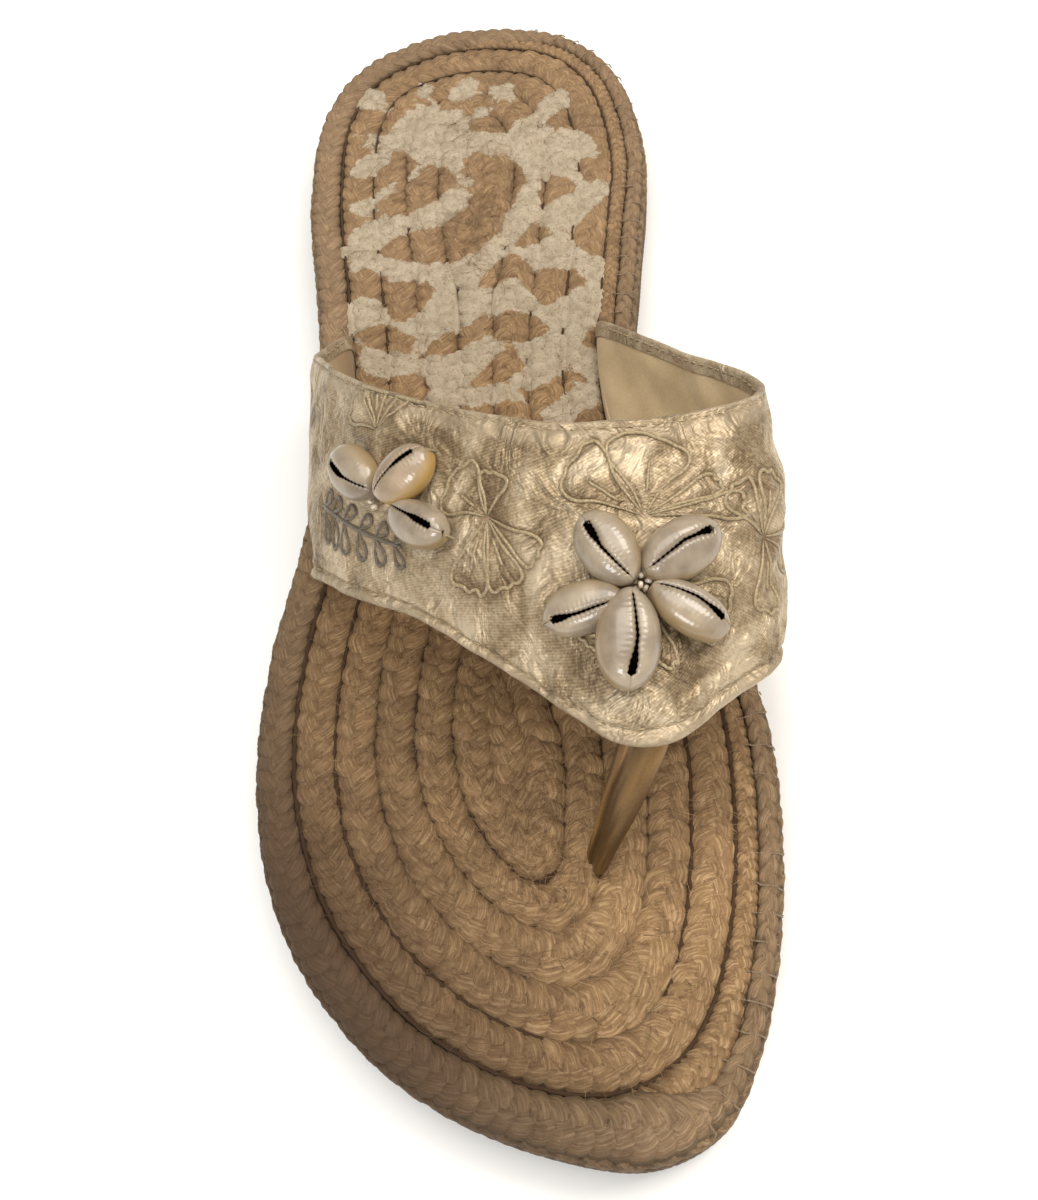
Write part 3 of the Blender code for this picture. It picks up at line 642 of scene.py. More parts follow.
def paintAt(x, y):
    # How far inside the drawing a point is, in mm.
    x, y = np.asarray(x) / mm, np.asarray(y) / mm

    def stroke(points, wide):
        best = np.full(x.shape, 99.0)
        for (ax, ay), (bx, by) in zip(points[:-1], points[1:]):
            run = (bx - ax) ** 2 + (by - ay) ** 2
            t = np.clip(((x - ax) * (bx - ax) + (y - ay) * (by - ay)) / run, 0, 1)
            best = np.minimum(best, np.hypot(x - ax - t * (bx - ax), y - ay - t * (by - ay)))
        return wide / 2 - best

    sunX, sunY, sunRadius = drawing["sun"]
    rays, near, far, rayWidth = drawing["rays"]
    marks = [sunRadius - np.hypot(x - sunX, y - sunY)]
    for k in range(rays):
        angle = 2 * math.pi * k / rays + 0.2
        c, s = math.cos(angle), math.sin(angle)
        marks.append(stroke([(sunX + near * c, sunY + near * s), (sunX + far * c, sunY + far * s)], rayWidth))
    marks.append(stroke(drawing["trunk"], drawing["trunkWidth"]))
    crownX, crownY = drawing["crown"]
    for degrees, reach, droop in drawing["fronds"]:
        c, s = math.cos(math.radians(degrees)), math.sin(math.radians(degrees))
        frond = [(crownX + reach * t * c, crownY + reach * t * s - droop * t * t)
                 for t in (0.0, 0.35, 0.7, 1.0)]
        marks.append(stroke(frond, drawing["frondWidth"]))
    for level, thick, shift in drawing["waves"]:
        crest = level + 2.6 * np.sin(x / 5.4 + shift) + 0.9 * np.sin(x / 2.3 + shift * 3) - 0.12 * x
        marks.append(np.minimum(thick / 2 - np.abs(y - crest), 28.0 - np.abs(x + 1.0)))
    for ax, ay, bx, by, wide in drawing["patches"]:
        marks.append(stroke([(ax, ay), (bx, by)], wide))
    worn = 2.2 * np.sin(x / 6.1 + y / 7.3) * np.sin(x / 8.7 - y / 5.9) + 1.1 * np.sin(x / 2.7 - y / 3.1)
    return np.clip(np.max(marks, axis=0) + worn - 0.3, -3.0, 3.0)


def layPlait(stock, loop, spec, halfOut, halfIn, closed=True):
    # Three oval strands that swing across the plait and over each other. halfOut and halfIn are the
    # room to either side of the line, so that each plait fills its lane.
    turns = max(2, round(evenly(loop, 8, closed)[1] / spec["period"]))
    lanes = np.column_stack([loop, halfOut, halfIn])
    path, length = evenly(lanes, turns * spec["stepsPerPeriod"] + (0 if closed else 1), closed)
    run = np.linspace(0.0, length, len(path))
    width = path[:, 2] + path[:, 3]
    width = width * (spec["overlap"] + spec["fill"] * np.clip(width / spec["width"] - 1, 0, 0.3))
    raised = spec["raise"] - spec["sunk"] * (1 - smoothStep(path[:, 0], -8 * mm, 8 * mm))
    base = np.column_stack([path[:, :2], topAt(path[:, 1]) - spec["height"] / 2 + raised])
    along = alongOf(base, closed)
    across = unit(np.column_stack([along[:, 1], -along[:, 0], 0 * run]))
    base = base + across * ((path[:, 3] - path[:, 2]) / 2)[:, None]
    up = np.cross(along, across)
    up *= np.sign(up[:, 2:3])
    share = spec["strandWidth"] / spec["width"]
    girth = np.pi * (spec["strandWidth"] + spec["strandHeight"]) / 2
    angle = ringAngles(spec["sides"])[None, :, None]
    for k in range(3):
        phase = 2 * np.pi * (run / length * turns + k / 3)
        wobble = np.interp(run / length, np.linspace(0, 1, turns * 2 + 1), dice.uniform(-1, 1, turns * 2 + 1))
        wobble = np.where(run < length * 0.998, wobble, wobble[0])
        swing = (width * (1 - share) / 2) * np.sin(phase) * (1 + 0.08 * wobble)
        lift = (spec["height"] - spec["strandHeight"]) / 2 * np.sin(2 * phase) + 0.10 * mm * wobble
        centre = base + across * swing[:, None] + up * lift[:, None]
        heading = alongOf(centre, closed)
        side = unit(np.cross(heading, up))
        top = np.cross(side, heading)
        fat = 1 + 0.08 * wobble
        wide = (width * share / 2 * fat)[:, None, None] * np.cos(angle)
        tall = (spec["strandHeight"] / 2 * fat)[:, None, None] * np.sin(angle)
        grid = centre[:, None] + side[:, None] * wide + top[:, None] * tall
        slack = runOf(centre)[:, None]
        grain = pairUp(np.arange(spec["sides"])[None] / spec["sides"] * girth + slack * 0.35,
                       slack + 0.4 * dice.random())
        # Depth paints shade: the jute is darker low down in the plait and at its edges. The paint also misses
        # the low places.
        level = ((grid - base[:, None]) * up[:, None]).sum(axis=2) / spec["height"] + 0.5
        edge = np.abs(((grid - base[:, None]) * across[:, None]).sum(axis=2)) / (width[:, None] / 2)
        depth = np.clip(level, 0, 1) * (1 - 0.4 * smoothStep(edge, 0.86, 1.02))
        tone = np.clip(0.5 + 0.3 * wobble + dice.uniform(-0.12, 0.12), 0, 1)[:, None]
        paint = paintAt(grid[..., 0], grid[..., 1]) if spec is braid else -3.0
        addGrid(stock, grid, grain, tone, depth, paint, ring=True, caps=not closed)


def lobeLoop(turn, toeRounding=0.0, **limits):
    return insetLoop(turn * pitch, rounding=coilShape["lobeRounding"], toeRounding=toeRounding, base=groove,
                     **limits)


coil = newStock()
pitch = braid["width"]
groove = insetLoop(coilShape["grooveInset"], rounding=2.0 * mm, toeRounding=coilShape["toeRounding"])
whole = [insetLoop((k + 0.5) * pitch, base=groove, toeRounding=(3 + 3 * k) * mm) for k in range(3)]
heelLobe = lobeLoop(3.5, lowY=coilShape["heelLobeY"])
ballLobe = lobeLoop(3.5, 8 * mm, highY=coilShape["ballLobeY"])
ballCore = lobeLoop(4.4, 3 * mm, highY=coilShape["ballLobeY"])
waistY = np.linspace(coilShape["ballLobeY"] - 5 * mm, coilShape["heelLobeY"] + 9 * mm, 60)
middleInset = coilShape["grooveInset"] + 2.5 * pitch
waistLine = np.column_stack([(sideX(middleInset, waistY, -1) + sideX(middleInset, waistY, 1)) / 2, waistY])
inner = np.vstack([heelLobe, ballLobe, waistLine])
loops = [
    (whole[0], gapTo(whole[0], groove), gapTo(whole[0], whole[1]) / 2),
    (whole[1], gapTo(whole[1], whole[0]) / 2, gapTo(whole[1], whole[2]) / 2),
    (whole[2], gapTo(whole[2], whole[1]) / 2, gapTo(whole[2], inner) / 2),
    (heelLobe, gapTo(heelLobe, whole[2]) / 2, np.full(len(heelLobe), pitch / 2)),
    (ballLobe, gapTo(ballLobe, whole[2]) / 2, gapTo(ballLobe, ballCore) / 2),
    (ballCore, gapTo(ballCore, ballLobe) / 2, np.full(len(ballCore), pitch / 2)),
]
least, most = 0.40 * pitch, 1.05 * pitch
for loop, halfOut, halfIn in loops:
    layPlait(coil, loop, braid, calm(np.clip(halfOut, least, most), 21),
             calm(np.clip(halfIn, least * 0.8, most), 21))


def layOpen(line, room, least):
    half = calm(np.clip(room, least, pitch / 2), 9, closed=False)
    layPlait(coil, line, braid, half, half, closed=False)


layOpen(waistLine, gapTo(waistLine, whole[2]) / 2, 1.2 * mm)
# The last turn of each lobe is laid double down its middle.
for lobe, short in ((ballCore, 2.6 * mm), (heelLobe, 4.4 * mm)):
    coreY = np.linspace(lobe[:, 1].min() + short, lobe[:, 1].max() - short, 40)
    ahead = np.roll(lobe, -1, axis=0)
    coreX = []
    for level in coreY:
        hits = (lobe[:, 1] - level) * (ahead[:, 1] - level) < 0
        share = (level - lobe[hits, 1]) / (ahead[hits, 1] - lobe[hits, 1])
        spots = lobe[hits, 0] + share * (ahead[hits, 0] - lobe[hits, 0])
        coreX.append((spots.min() + spots.max()) / 2)
    coreLine = np.column_stack([coreX, coreY])
    layOpen(coreLine, gapTo(coreLine, lobe) - 0.34 * pitch, 1.1 * mm)
meshPiece("jute_coil", coil, [plaitedJute], "jute", "footbed")

# The outer plait lies halfway between the rim and the first groove.
narrow = newStock()
rimSide = insetLoop(rimBraid["inner"])
nearest = groove[((rimSide[:, None] - groove[None]) ** 2).sum(axis=2).argmin(axis=1)]
outerRing = np.column_stack([calm((rimSide[:, k] + nearest[:, k]) / 2, 15) for k in (0, 1)])
layPlait(narrow, outerRing, narrowBraid, calm(gapTo(outerRing, rimSide), 15),
         calm(gapTo(outerRing, groove), 15) - 0.05 * mm)
meshPiece("jute_outer_plait", narrow, [plaitedJute], "jute", "footbed")


def addPlate(stock, inset, lowAt, highAt, stations=120, across=10):
    # A plate in the shape of the sole, closed round its edge.
    path = insetLoop(inset, rounding=sole["edgeRounding"])
    ys = path[:, 1].min() + (path[:, 1].max() - path[:, 1].min()) * (
        1 - np.cos(np.pi * (np.arange(stations) + 0.3) / (stations - 0.4))) / 2
    left, right = sideX(inset, ys, -1), sideX(inset, ys, 1)
    x = left[:, None] + (right - left)[:, None] * np.linspace(0, 1, across)
    y = np.broadcast_to(ys[:, None], x.shape)
    upper, lower = (np.stack([x, y, np.broadcast_to(heightAt(ys)[:, None], x.shape)], axis=-1)
                    for heightAt in (highAt, lowAt))
    ring = np.concatenate([upper, lower[:, ::-1]], axis=1)
    # A low depth paints the plate dark with shade.
    addGrid(stock, ring, ring[..., :2], 0.4, 0.3, ring=True, caps=True)


# The sewing between the outer plaits pulls a line down into each groove, painted dark with the groove's
# shade.
lacing = newStock()
seams = [loop + inwardOf(loop) * pitch / 2 for loop in (*whole, heelLobe)]
for loop, sink in ((groove, 0.80), (seams[0], 0.95)):
    path, _ = evenly(loop, 700, closed=True)
    swollen = 0.14 * mm * smoothStep(-path[:, 1], -10 * mm, 30 * mm)
    line = np.column_stack([path, topAt(path[:, 1]) - sink * mm])
    addTube(lacing, line, coilShape["lacingRadius"] + swollen, tone=0.2, depth=0.36)
meshPiece("sole_lacing", lacing, [grooveJute], "jute", "footbed")

# Thick paint bridges the grooves in places.
bridges = newStock()
for loop in (groove, *seams):
    path, length = evenly(loop, 900, closed=True)
    bare = noiseOver(path[:, 0] / (2.2 * mm), path[:, 1] / (2.2 * mm), 4.4)
    thick = (paintAt(path[:, 0], path[:, 1]) + 2.0 * bare > 0.2) & (path[:, 1] > 6 * mm)
    for start in np.flatnonzero(thick & ~np.roll(thick, 1)):
        count = 0
        while thick[(start + count) % len(thick)] and count < len(thick):
            count += 1
        if count < 4:
            continue
        spots = (start + np.arange(-1, count + 1)) % len(path)
        line = np.column_stack([path[spots], topAt(path[spots, 1]) - coilShape["bridgeDepth"]])
        addTube(bridges, line, coilShape["bridgeWidth"], coilShape["bridgeHeight"], sides=8, tone=0.6,
                depth=0.9, paint=3.0, taper=True)
meshPiece("groove_paint", bridges, [plaitedJute], "jute", "footbed")

# The board under the plaits, which shows only in the gaps as a painted shadow. Its bottom and top are
# measured down from the footbed.
board = {"gap": 0.3 * mm, "bottom": 6.3 * mm, "top": 1.25 * mm}
backing = newStock()
addPlate(backing, sole["rimWidth"] + board["gap"], lambda y: topAt(y) - board["bottom"],
         lambda y: topAt(y) - board["top"])
meshPiece("footbed_backing", backing, [grooveJute], "jute", "footbed")
print("footbed laid")


# The rim: a plait over a wrapped core, sewn to the edge with blanket stitches.
rim = {
    "ribSpacing": 2.3 * mm,
    "ribDepth": 0.34 * mm,
    "ribSlant": 0.9,
    "sway": 0.2 * mm,
    "stitchSpacing": 4.9 * mm,
    "stitchDip": 0.16 * mm,
    "threadRadius": 0.13 * mm,
    # where a stitch starts and ends round the rim, how much further some reach, and the share missing
    "stitchSpan": (24, 150, 16),
    "stitchesMissing": 0.15,
    "skin": 0.35 * mm,
    "coreDrop": 0.75 * mm,
    "corner": 0.62,
    "stations": 1500,
    "around": 18,
}


def rimPoint(path, inward, angle, bulge, drop=0.0):
    # Rounded-square section: angle 0 faces into the shoe, 90 degrees is the top.
    across = roundedPower(np.cos(angle), rim["corner"]) * (sole["rimWidth"] / 2 - rim["skin"] + bulge)
    rise = roundedPower(np.sin(angle), rim["corner"]) * (sole["rimHeight"] / 2 - rim["skin"] + bulge - drop)
    middle = topAt(path[..., 1]) + sole["rimProud"] - sole["rimHeight"] / 2 - drop
    return np.stack([path[..., 0] + inward[..., 0] * across, path[..., 1] + inward[..., 1] * across,
                     middle + rise], axis=-1)


def ringAlong(path, count):
    # A closed path again with its inward directions and its length up to each point.
    path, length = evenly(path, count, closed=True)
    along = alongOf(path, closed=True)
    return path, np.column_stack([along[:, 1], -along[:, 0]]), np.linspace(0, length, len(path)), length


rimPath, rimIn, rimRun, rimLength = ringAlong(offsetLoop(sole["rimWidth"] / 2), rim["stations"])
stitches = round(rimLength / rim["stitchSpacing"])
rimAngle = ringAngles(rim["around"])
ribPhase = (rimRun[:, None] / rimLength * round(rimLength / rim["ribSpacing"])
            + rimAngle[None] * rim["ribSlant"])
sway = noiseOver(rimRun / (5 * mm), 3.3, 0.0)
sway[-1] = sway[0]
sway = sway[:, None]
ribs = np.abs(np.cos(np.pi * (ribPhase + 0.25 * sway))) ** 0.6
stitchPhase = (rimRun / rimLength * stitches) % 1.0
dip = bell(np.minimum(stitchPhase, 1 - stitchPhase) * rim["stitchSpacing"], 0, 0.9 * mm)[:, None]
bulge = (rim["ribDepth"] * (ribs - 0.35) - rim["stitchDip"] * dip * (np.sin(rimAngle)[None] > -0.9)
         + rim["sway"] * sway)
rope = newStock()
# Its depth paints shade into the rib valleys, at the stitch dips and down the lower side of the core.
addGrid(rope, rimPoint(rimPath[:, None], rimIn[:, None], rimAngle[None], bulge - 0.1 * mm, rim["coreDrop"]),
        pairUp(rimRun[:, None] + rimAngle[None] * 1.4 * mm, rimAngle[None] * 3 * mm), 0.5 + 0.4 * sway,
        np.clip(0.25 + 0.75 * ribs - 0.3 * dip, 0, 1) * smoothStep(np.sin(rimAngle)[None], -1.2, 0.2),
        ring=True)
meshPiece("rim_core", rope, [ropeJute], "jute", "edge_braid")

# The rim plait is narrow on the big-toe side, where the outer plait shows beside it.
edging = newStock()
rimCentre = offsetLoop(rimBraid["width"] / 2)
narrowed = smoothStep(rimCentre[:, 0], 6 * mm, 24 * mm)
inwardRoom = calm((gapTo(rimCentre, groove) - 0.1 * mm) * (1 - narrowed)
                  + (rimBraid["inner"] - rimBraid["width"] / 2) * narrowed, 21)
outwardRoom = np.full(len(rimCentre), rimBraid["width"] / 2 - rimBraid["outer"])
layPlait(edging, rimCentre, rimBraid, outwardRoom, inwardRoom)
meshPiece("rim_plait", edging, [ropeJute], "jute", "edge_braid")

seam = newStock()
stitchStart, stitchEnd, stitchExtra = rim["stitchSpan"]
for k in range(stitches):
    # One blanket stitch, a loop over the plait and down its side. They show on the big-toe side only.
    at = int(round((k / stitches) * rim["stations"]))
    if rimIn[at % rim["stations"], 0] > -0.4 or dice.random() < rim["stitchesMissing"]:
        continue
    spread = np.linspace(np.radians(stitchStart), np.radians(stitchEnd + stitchExtra * dice.random()), 14)
    lean = int(dice.integers(-4, 5))
    spots = (at + np.linspace(0, lean, 14).astype(int)) % rim["stations"]
    addTube(seam, rimPoint(rimPath[spots], rimIn[spots], spread, -0.04 * mm), rim["threadRadius"],
            up=np.column_stack([-rimIn[spots], 0.3 + 0 * spread]), tone=dice.random(), turn=0.8)
meshPiece("rim_stitches", seam, [seamThread], "jute", "edge_braid")
print("rim stitched")


# The side wall and the outsole. A bottom is measured up from the outsole, a top down from the footbed.
wall = {"inset": 0.5 * mm, "deep": 11 * mm, "bulge": 0.1 * mm, "ribSpacing": 2.6 * mm, "ribDepth": 0.35 * mm,
        "bottom": 0.15 * mm, "top": 6.45 * mm}
wallCore = {"inset": 9 * mm, "bottom": 0.2 * mm, "top": 6.6 * mm}
tread = {"inset": 0.9 * mm, "deep": 3 * mm, "bulge": 0.25 * mm, "ribSpacing": 1.3 * mm, "ribDepth": 0.12 * mm,
         "pitch": 5.2 * mm, "depth": 0.8 * mm, "border": 5.5 * mm, "rows": 420, "columns": 84,
         "wave": 9.0 * mm}


def outsoleTop(y, gap=0.0):
    return bottomAt(y) + sole["outsoleThickness"] + gap


def addBand(stock, spec, lowAt, highAt, stations=1200, columns=14, ribSlant=0.5):
    # A ring of rounded section that follows the outline: rows along, columns round.
    path, inward, run, length = ringAlong(offsetLoop(spec["inset"]), stations)
    run = run[:, None]
    c, s = np.cos(ringAngles(columns))[None], np.sin(ringAngles(columns))[None]
    ribs = np.abs(np.cos(np.pi * (run / length * round(length / spec["ribSpacing"]) + s * ribSlant))) ** 0.6
    outer = np.clip(-c, 0, 1) ** 0.5
    ribbed = outer * (spec["bulge"] + spec["ribDepth"] * (ribs - 1))
    across = spec["deep"] / 2 * (1 + roundedPower(c, 0.35)) - ribbed
    low, high = lowAt(path[:, 1])[:, None], highAt(path[:, 1])[:, None]
    z = (low + high) / 2 + roundedPower(s, 0.45) * (high - low) / 2
    grid = np.stack([path[:, :1] + inward[:, :1] * across, path[:, 1:] + inward[:, 1:] * across, z], axis=-1)
    # The depth paints shade into the rib valleys and on the faces turned away from the outside; only the jute
    # reads it.
    addGrid(stock, grid, pairUp(run + s * 1.2 * mm, s * 3 * mm), 0.4, 0.25 + 0.65 * ribs * outer, ring=True)


side = newStock()
addBand(side, wall, lambda y: outsoleTop(y, wall["bottom"]), lambda y: topAt(y) - wall["top"])
addPlate(side, wallCore["inset"], lambda y: outsoleTop(y, wallCore["bottom"]),
         lambda y: topAt(y) - wallCore["top"])
meshPiece("side_wall", side, [darkJute], "dark_jute", "midsole")

ground = newStock()
outline = insetLoop(tread["inset"], rounding=sole["edgeRounding"])
ys = np.linspace(outline[:, 1].min() + 0.4 * mm, outline[:, 1].max() - 0.4 * mm, tread["rows"])
left, right = sideX(tread["inset"], ys, -1)[:, None], sideX(tread["inset"], ys, 1)[:, None]
x = left + (right - left) * np.linspace(0, 1, tread["columns"])
y = np.broadcast_to(ys[:, None], x.shape)
edgeGap = np.minimum(np.minimum(x - left, right - x), np.minimum(y - ys[0], ys[-1] - y) * 0.9)
zigzag = np.abs(((x / tread["wave"]) % 1.0) - 0.5) * tread["wave"]
cut = smoothStep(np.cos(2 * np.pi * (y + zigzag) / tread["pitch"]), 0.35, 0.75)
cut = cut * smoothStep(edgeGap, tread["border"], tread["border"] + 0.8 * mm)
under = np.stack([x, y, bottomAt(y) + tread["depth"] * cut], axis=-1)
over = np.stack([x[:, ::-1], y, bottomAt(y) + sole["outsoleThickness"] * 0.9], axis=-1)[:, ::14]
slab = np.concatenate([over, under], axis=1)
addGrid(ground, slab, slab[..., :2], ring=True, caps=True)
addBand(ground, tread, lambda y: bottomAt(y) + 0.02 * mm, outsoleTop)
meshPiece("tread_rubber", ground, [crepeRubber], "rubber", "outsole")
print("sole closed")


# The strap: one padded band, tucked into the sole at both ends.
strap = {
    "thickness": 1.6 * mm,
    "rootHeights": (-6.3 * mm, -0.2 * mm, 1.6 * mm),
    "crown": 1.6 * mm,
    "curlRadius": 0.8 * mm,
    "lip": 3.4 * mm,
    "steps": 22,
    "columns": 104,
    "lateralRootY": (35.0 * mm, -21.0 * mm),
    "medialRootY": (28.0 * mm, -30.0 * mm),
    # rear edge x, y, height over the footbed, then the front edge
    "rows": (
        (-34.0, 24.6, 10.6, -38.0, -24.2, 7.4), (-31.6, 13.2, 22.3, -31.0, -33.3, 16.2),
        (-21.5, -4.4, 36.0, -15.4, -46.0, 23.1), (-4.5, -18.5, 43.0, 1.5, -63.0, 27.0),
        (9.0, -25.5, 46.0, 12.0, -73.2, 28.2), (17.0, -27.5, 46.5, 19.0, -74.2, 28.2),
        (29.0, -26.5, 44.0, 27.5, -69.0, 26.0), (41.0, -21.5, 38.5, 37.0, -61.0, 20.5),
        (44.0, -15.0, 33.5, 38.8, -53.5, 15.0), (33.5, 4.0, 20.0, 31.4, -39.0, 8.0),
    ),
}
# How much each kind of fold counts, in mm.
folding = {"broad": 1.0, "diagonal": 0.60, "crumple": 0.22, "small": 0.06, "pucker": 0.12, "puckerPitch": 3.7,
           "gather": 1.3, "gatherFromTip": 24.0}
rootInset = sole["rimWidth"] + 0.05 * mm + strap["thickness"] / 2
half = strap["thickness"] / 2


def strapMiddle():
    share = np.linspace(0.0, 1.0, 11)

    def rootRows(side, ends):
        ys = ends[0] + (ends[1] - ends[0]) * share
        return [np.column_stack([sideX(rootInset, ys, side), ys, topAt(ys) + rise])
                for rise in strap["rootHeights"]]

    rows = rootRows(-1, strap["lateralRootY"])
    for row in strap["rows"]:
        rear, front = np.array(row[:3]) * mm, np.array(row[3:]) * mm
        line = rear + (front - rear) * share[:, None]
        line[:, 2] += topAt(line[:, 1])
        rows.append(line)
    rows = np.array(rows + rootRows(1, strap["medialRootY"])[::-1])
    coarse = np.stack([curveThrough(rows[:, k], strap["steps"]) for k in range(11)], axis=1)
    fine = np.linspace(0, 1, strap["columns"] + 1)
    grid = acrossAt(coarse, share, fine)
    i = np.arange(len(grid))
    fade = smoothStep(np.minimum(i, i[::-1]) / (len(strap["rootHeights"]) * strap["steps"]) - 0.35)
    bulge = strap["crown"] * fade[:, None] * 4 * fine * (1 - fine)
    return grid + surfaceNormal(grid) * bulge[..., None], fine, fade


strapMid, strapShare, strapFade = strapMiddle()
strapNormal = surfaceNormal(strapMid)
rowRun = runOf(strapMid[:, strap["columns"] // 2])
columnRun = runOf(strapMid[len(strapMid) // 2])
strapWidth = np.linalg.norm(np.diff(strapMid, axis=1), axis=2).sum(axis=1)
meanWidth = float(np.mean(strapWidth))

# Soft ripples and diagonal folds, with puckers along both sewn edges.
u, v = rowRun[:, None] / mm, columnRun[None] / mm
j = np.arange(len(strapShare))
edgeMm, frontMm = (away / (len(strapShare) - 1) * strapWidth[:, None] / mm
                   for away in (np.minimum(j, j[::-1]), j[::-1]))
folds = noiseOver(u / 5.5 + v / 8.0, v / 12.0 - u / 30.0, 8.2)
pucker = np.sin(u * 2 * np.pi / folding["puckerPitch"] + 3 * folds) * bell(edgeMm, 4.2, 2.0)
gather = noiseOver(u / 2.0, v / 3.4, 9.4) + 0.5 * noiseOver(u / 4.1, v / 1.6, 2.9)
gather *= bell(frontMm, 4.4, 2.2) * (
    0.25 + 0.75 * bell(u, rowRun[int(7.5 * strap["steps"])] / mm, folding["gatherFromTip"], 4))
ripple = (folding["broad"] * noiseOver(u / 15.0 + v / 30.0, v / 10.0, 1.7) + folding["diagonal"] * folds
          + folding["crumple"] * (0.5 - np.abs(noiseOver(u / 4.2 - v / 9.0, v / 5.0 + u / 20.0, 3.1)))
          + folding["small"] * noiseOver(u / 2.4, v / 2.8, 5.1)
          + folding["pucker"] * pucker + folding["gather"] * gather) * mm * strapFade[:, None]


def strapSheet(share, lift):
    # Points over the strap at any shares of its width, lifted off its middle along the normal.
    return acrossAt(strapMid + strapNormal * (ripple[..., None] + lift), strapShare, share)


def edgeCurl(side):
    # The satin turned round an edge: side 0 is the rear edge, 1 the front.
    reach = strap["curlRadius"] / strapWidth[:, None]
    centre = strapSheet(1 - reach if side else reach, 0.0)
    out = unit(strapMid[:, -side] - strapMid[:, -4 if side else 3])[:, None]
    angle = np.linspace(0, np.pi, 9)[1:-1, None]
    return (centre + out * strap["curlRadius"] * np.sin(angle)
            + strapNormal[:, -side, None] * half * np.cos(angle))


lip, trim = strap["lip"] / meanWidth, strap["curlRadius"] / meanWidth
outerShare = np.linspace(trim, 1 - trim, strap["columns"] + 1)
outer = strapSheet(outerShare, half)
frontGap, rearGap = (1 - outerShare) * meanWidth / mm, outerShare * meanWidth / mm
# The rows of stitches pull the satin in, and it stands up between the front row and the edge.
seamDip = (-0.70 * bell(frontGap, 2.7, 0.5) - 0.40 * bell(rearGap, 1.3, 0.4)
           + 0.14 * bell(frontGap, 1.3, 1.0, 4))
outerNormal = surfaceNormal(outer)
outer = outer + outerNormal * (seamDip * mm)[None, :, None] * strapFade[:, None, None]
outerTree = treeOf(outer)
surfaceCentre = Vector((2 * mm, -28 * mm, 22 * mm))


def surfaceSpot(point):
    spot, normal, _, _ = outerTree.find_nearest(Vector(point))
    return spot, -normal if normal.dot(spot - surfaceCentre) < 0 else normal


def tangentFrame(x, y):
    hit, _, _, _ = outerTree.ray_cast(Vector((x * mm, y * mm, 0.2)), Vector((0, 0, -1)))
    if hit is None:
        hit, _, _, _ = outerTree.find_nearest(Vector((x * mm, y * mm, 45 * mm)))
    spot, normal = surfaceSpot(hit)
    xAxis = (Vector((1, 0, 0)) - normal * normal.x).normalized()
    return spot, xAxis, normal.cross(xAxis), normal


def onSurface(centre, points):
    spot, xAxis, yAxis, _ = centre
    found = [surfaceSpot(spot + xAxis * u + yAxis * v) for u, v in points]
    return np.array([at for at, _ in found]), np.array([normal for _, normal in found])


embroidery = {
    "cordRadius": 0.32 * mm,
    "veinRadius": 0.25 * mm,
    "sprigRadius": 0.36 * mm,
    "puff": 0.26 * mm,
    # x, y on the strap, then each petal: the angles of its two sides, its reach, and how ruffled
    "blooms": (
        (-3.7, -35.9, ((-137, -99, 12.6, 0.25), (-97, -64, 12.2, 0.25), (-58, -31, 11.6, 0.1),
                       (40, 92, 7.2, 0.3), (94, 163, 9.8, 0.2))),
        (20.5, -42.8, ((113, 158, 14.8, 0.1), (44, 110, 13.4, 0.25), (11, 27, 14.2, 0.15),
                       (-7, 9, 18.5, 0.1))),
        (18.2, -52.4, ((-44, -4, 16.8, 0.12), (-152, -128, 13.6, 0.3), (-86, -70, 13.4, 0.3))),
        (39.0, -44.0, ((48, 84, 11.0, 0.1), (96, 140, 10.0, 0.1), (-34, 6, 12.0, 0.1),
                       (-112, -78, 12.0, 0.1))),
        (-20.6, -14.2, ((96, 142, 8.8, 0.3), (48, 90, 10.0, 0.3), (8, 27, 13.6, 0.2))),
    ),
    # round a petal: how far to a side, and how far out
    "petal": ((-0.86, 0.05), (-0.80, 0.3), (-0.92, 0.56), (-1.06, 0.78), (-0.92, 0.94), (-0.62, 0.98),
              (-0.30, 0.97), (0.05, 1.01), (0.36, 0.96), (0.64, 0.98), (0.94, 0.92), (1.06, 0.76),
              (0.92, 0.54), (0.80, 0.3), (0.86, 0.05)),
    "sprig": (-26.0, -25.5),
    "sprigStem": ((-12.0, 8.6), (-6.0, 3.6), (1.5, -2.4), (9.0, -7.6)),
    "leafLengths": (7.0 * mm, 4.4 * mm),
}


def petalOutline(first, last, reach, ruffle):
    # Two sides that spring from the middle of the flower and a broad, uneven end.
    middle, spread = math.radians(first + last) / 2, math.radians(last - first) / 2
    points = []
    for side, out in embroidery["petal"]:
        jitter = (0.02 + 0.07 * ruffle) * dice.uniform(-1, 1) if out > 0.7 else 0.0
        angle = middle + spread * side
        points.append((reach * (out + jitter) * math.cos(angle), reach * (out + jitter) * math.sin(angle)))
    smooth = curveThrough(np.array(points), 6)
    t = np.linspace(0, 1, len(smooth))
    end = smoothStep(t, 0.22, 0.34) * (1 - smoothStep(t, 0.66, 0.78))
    return smooth * (1 + 0.012 * ruffle * end * np.sin(64 * t))[:, None]


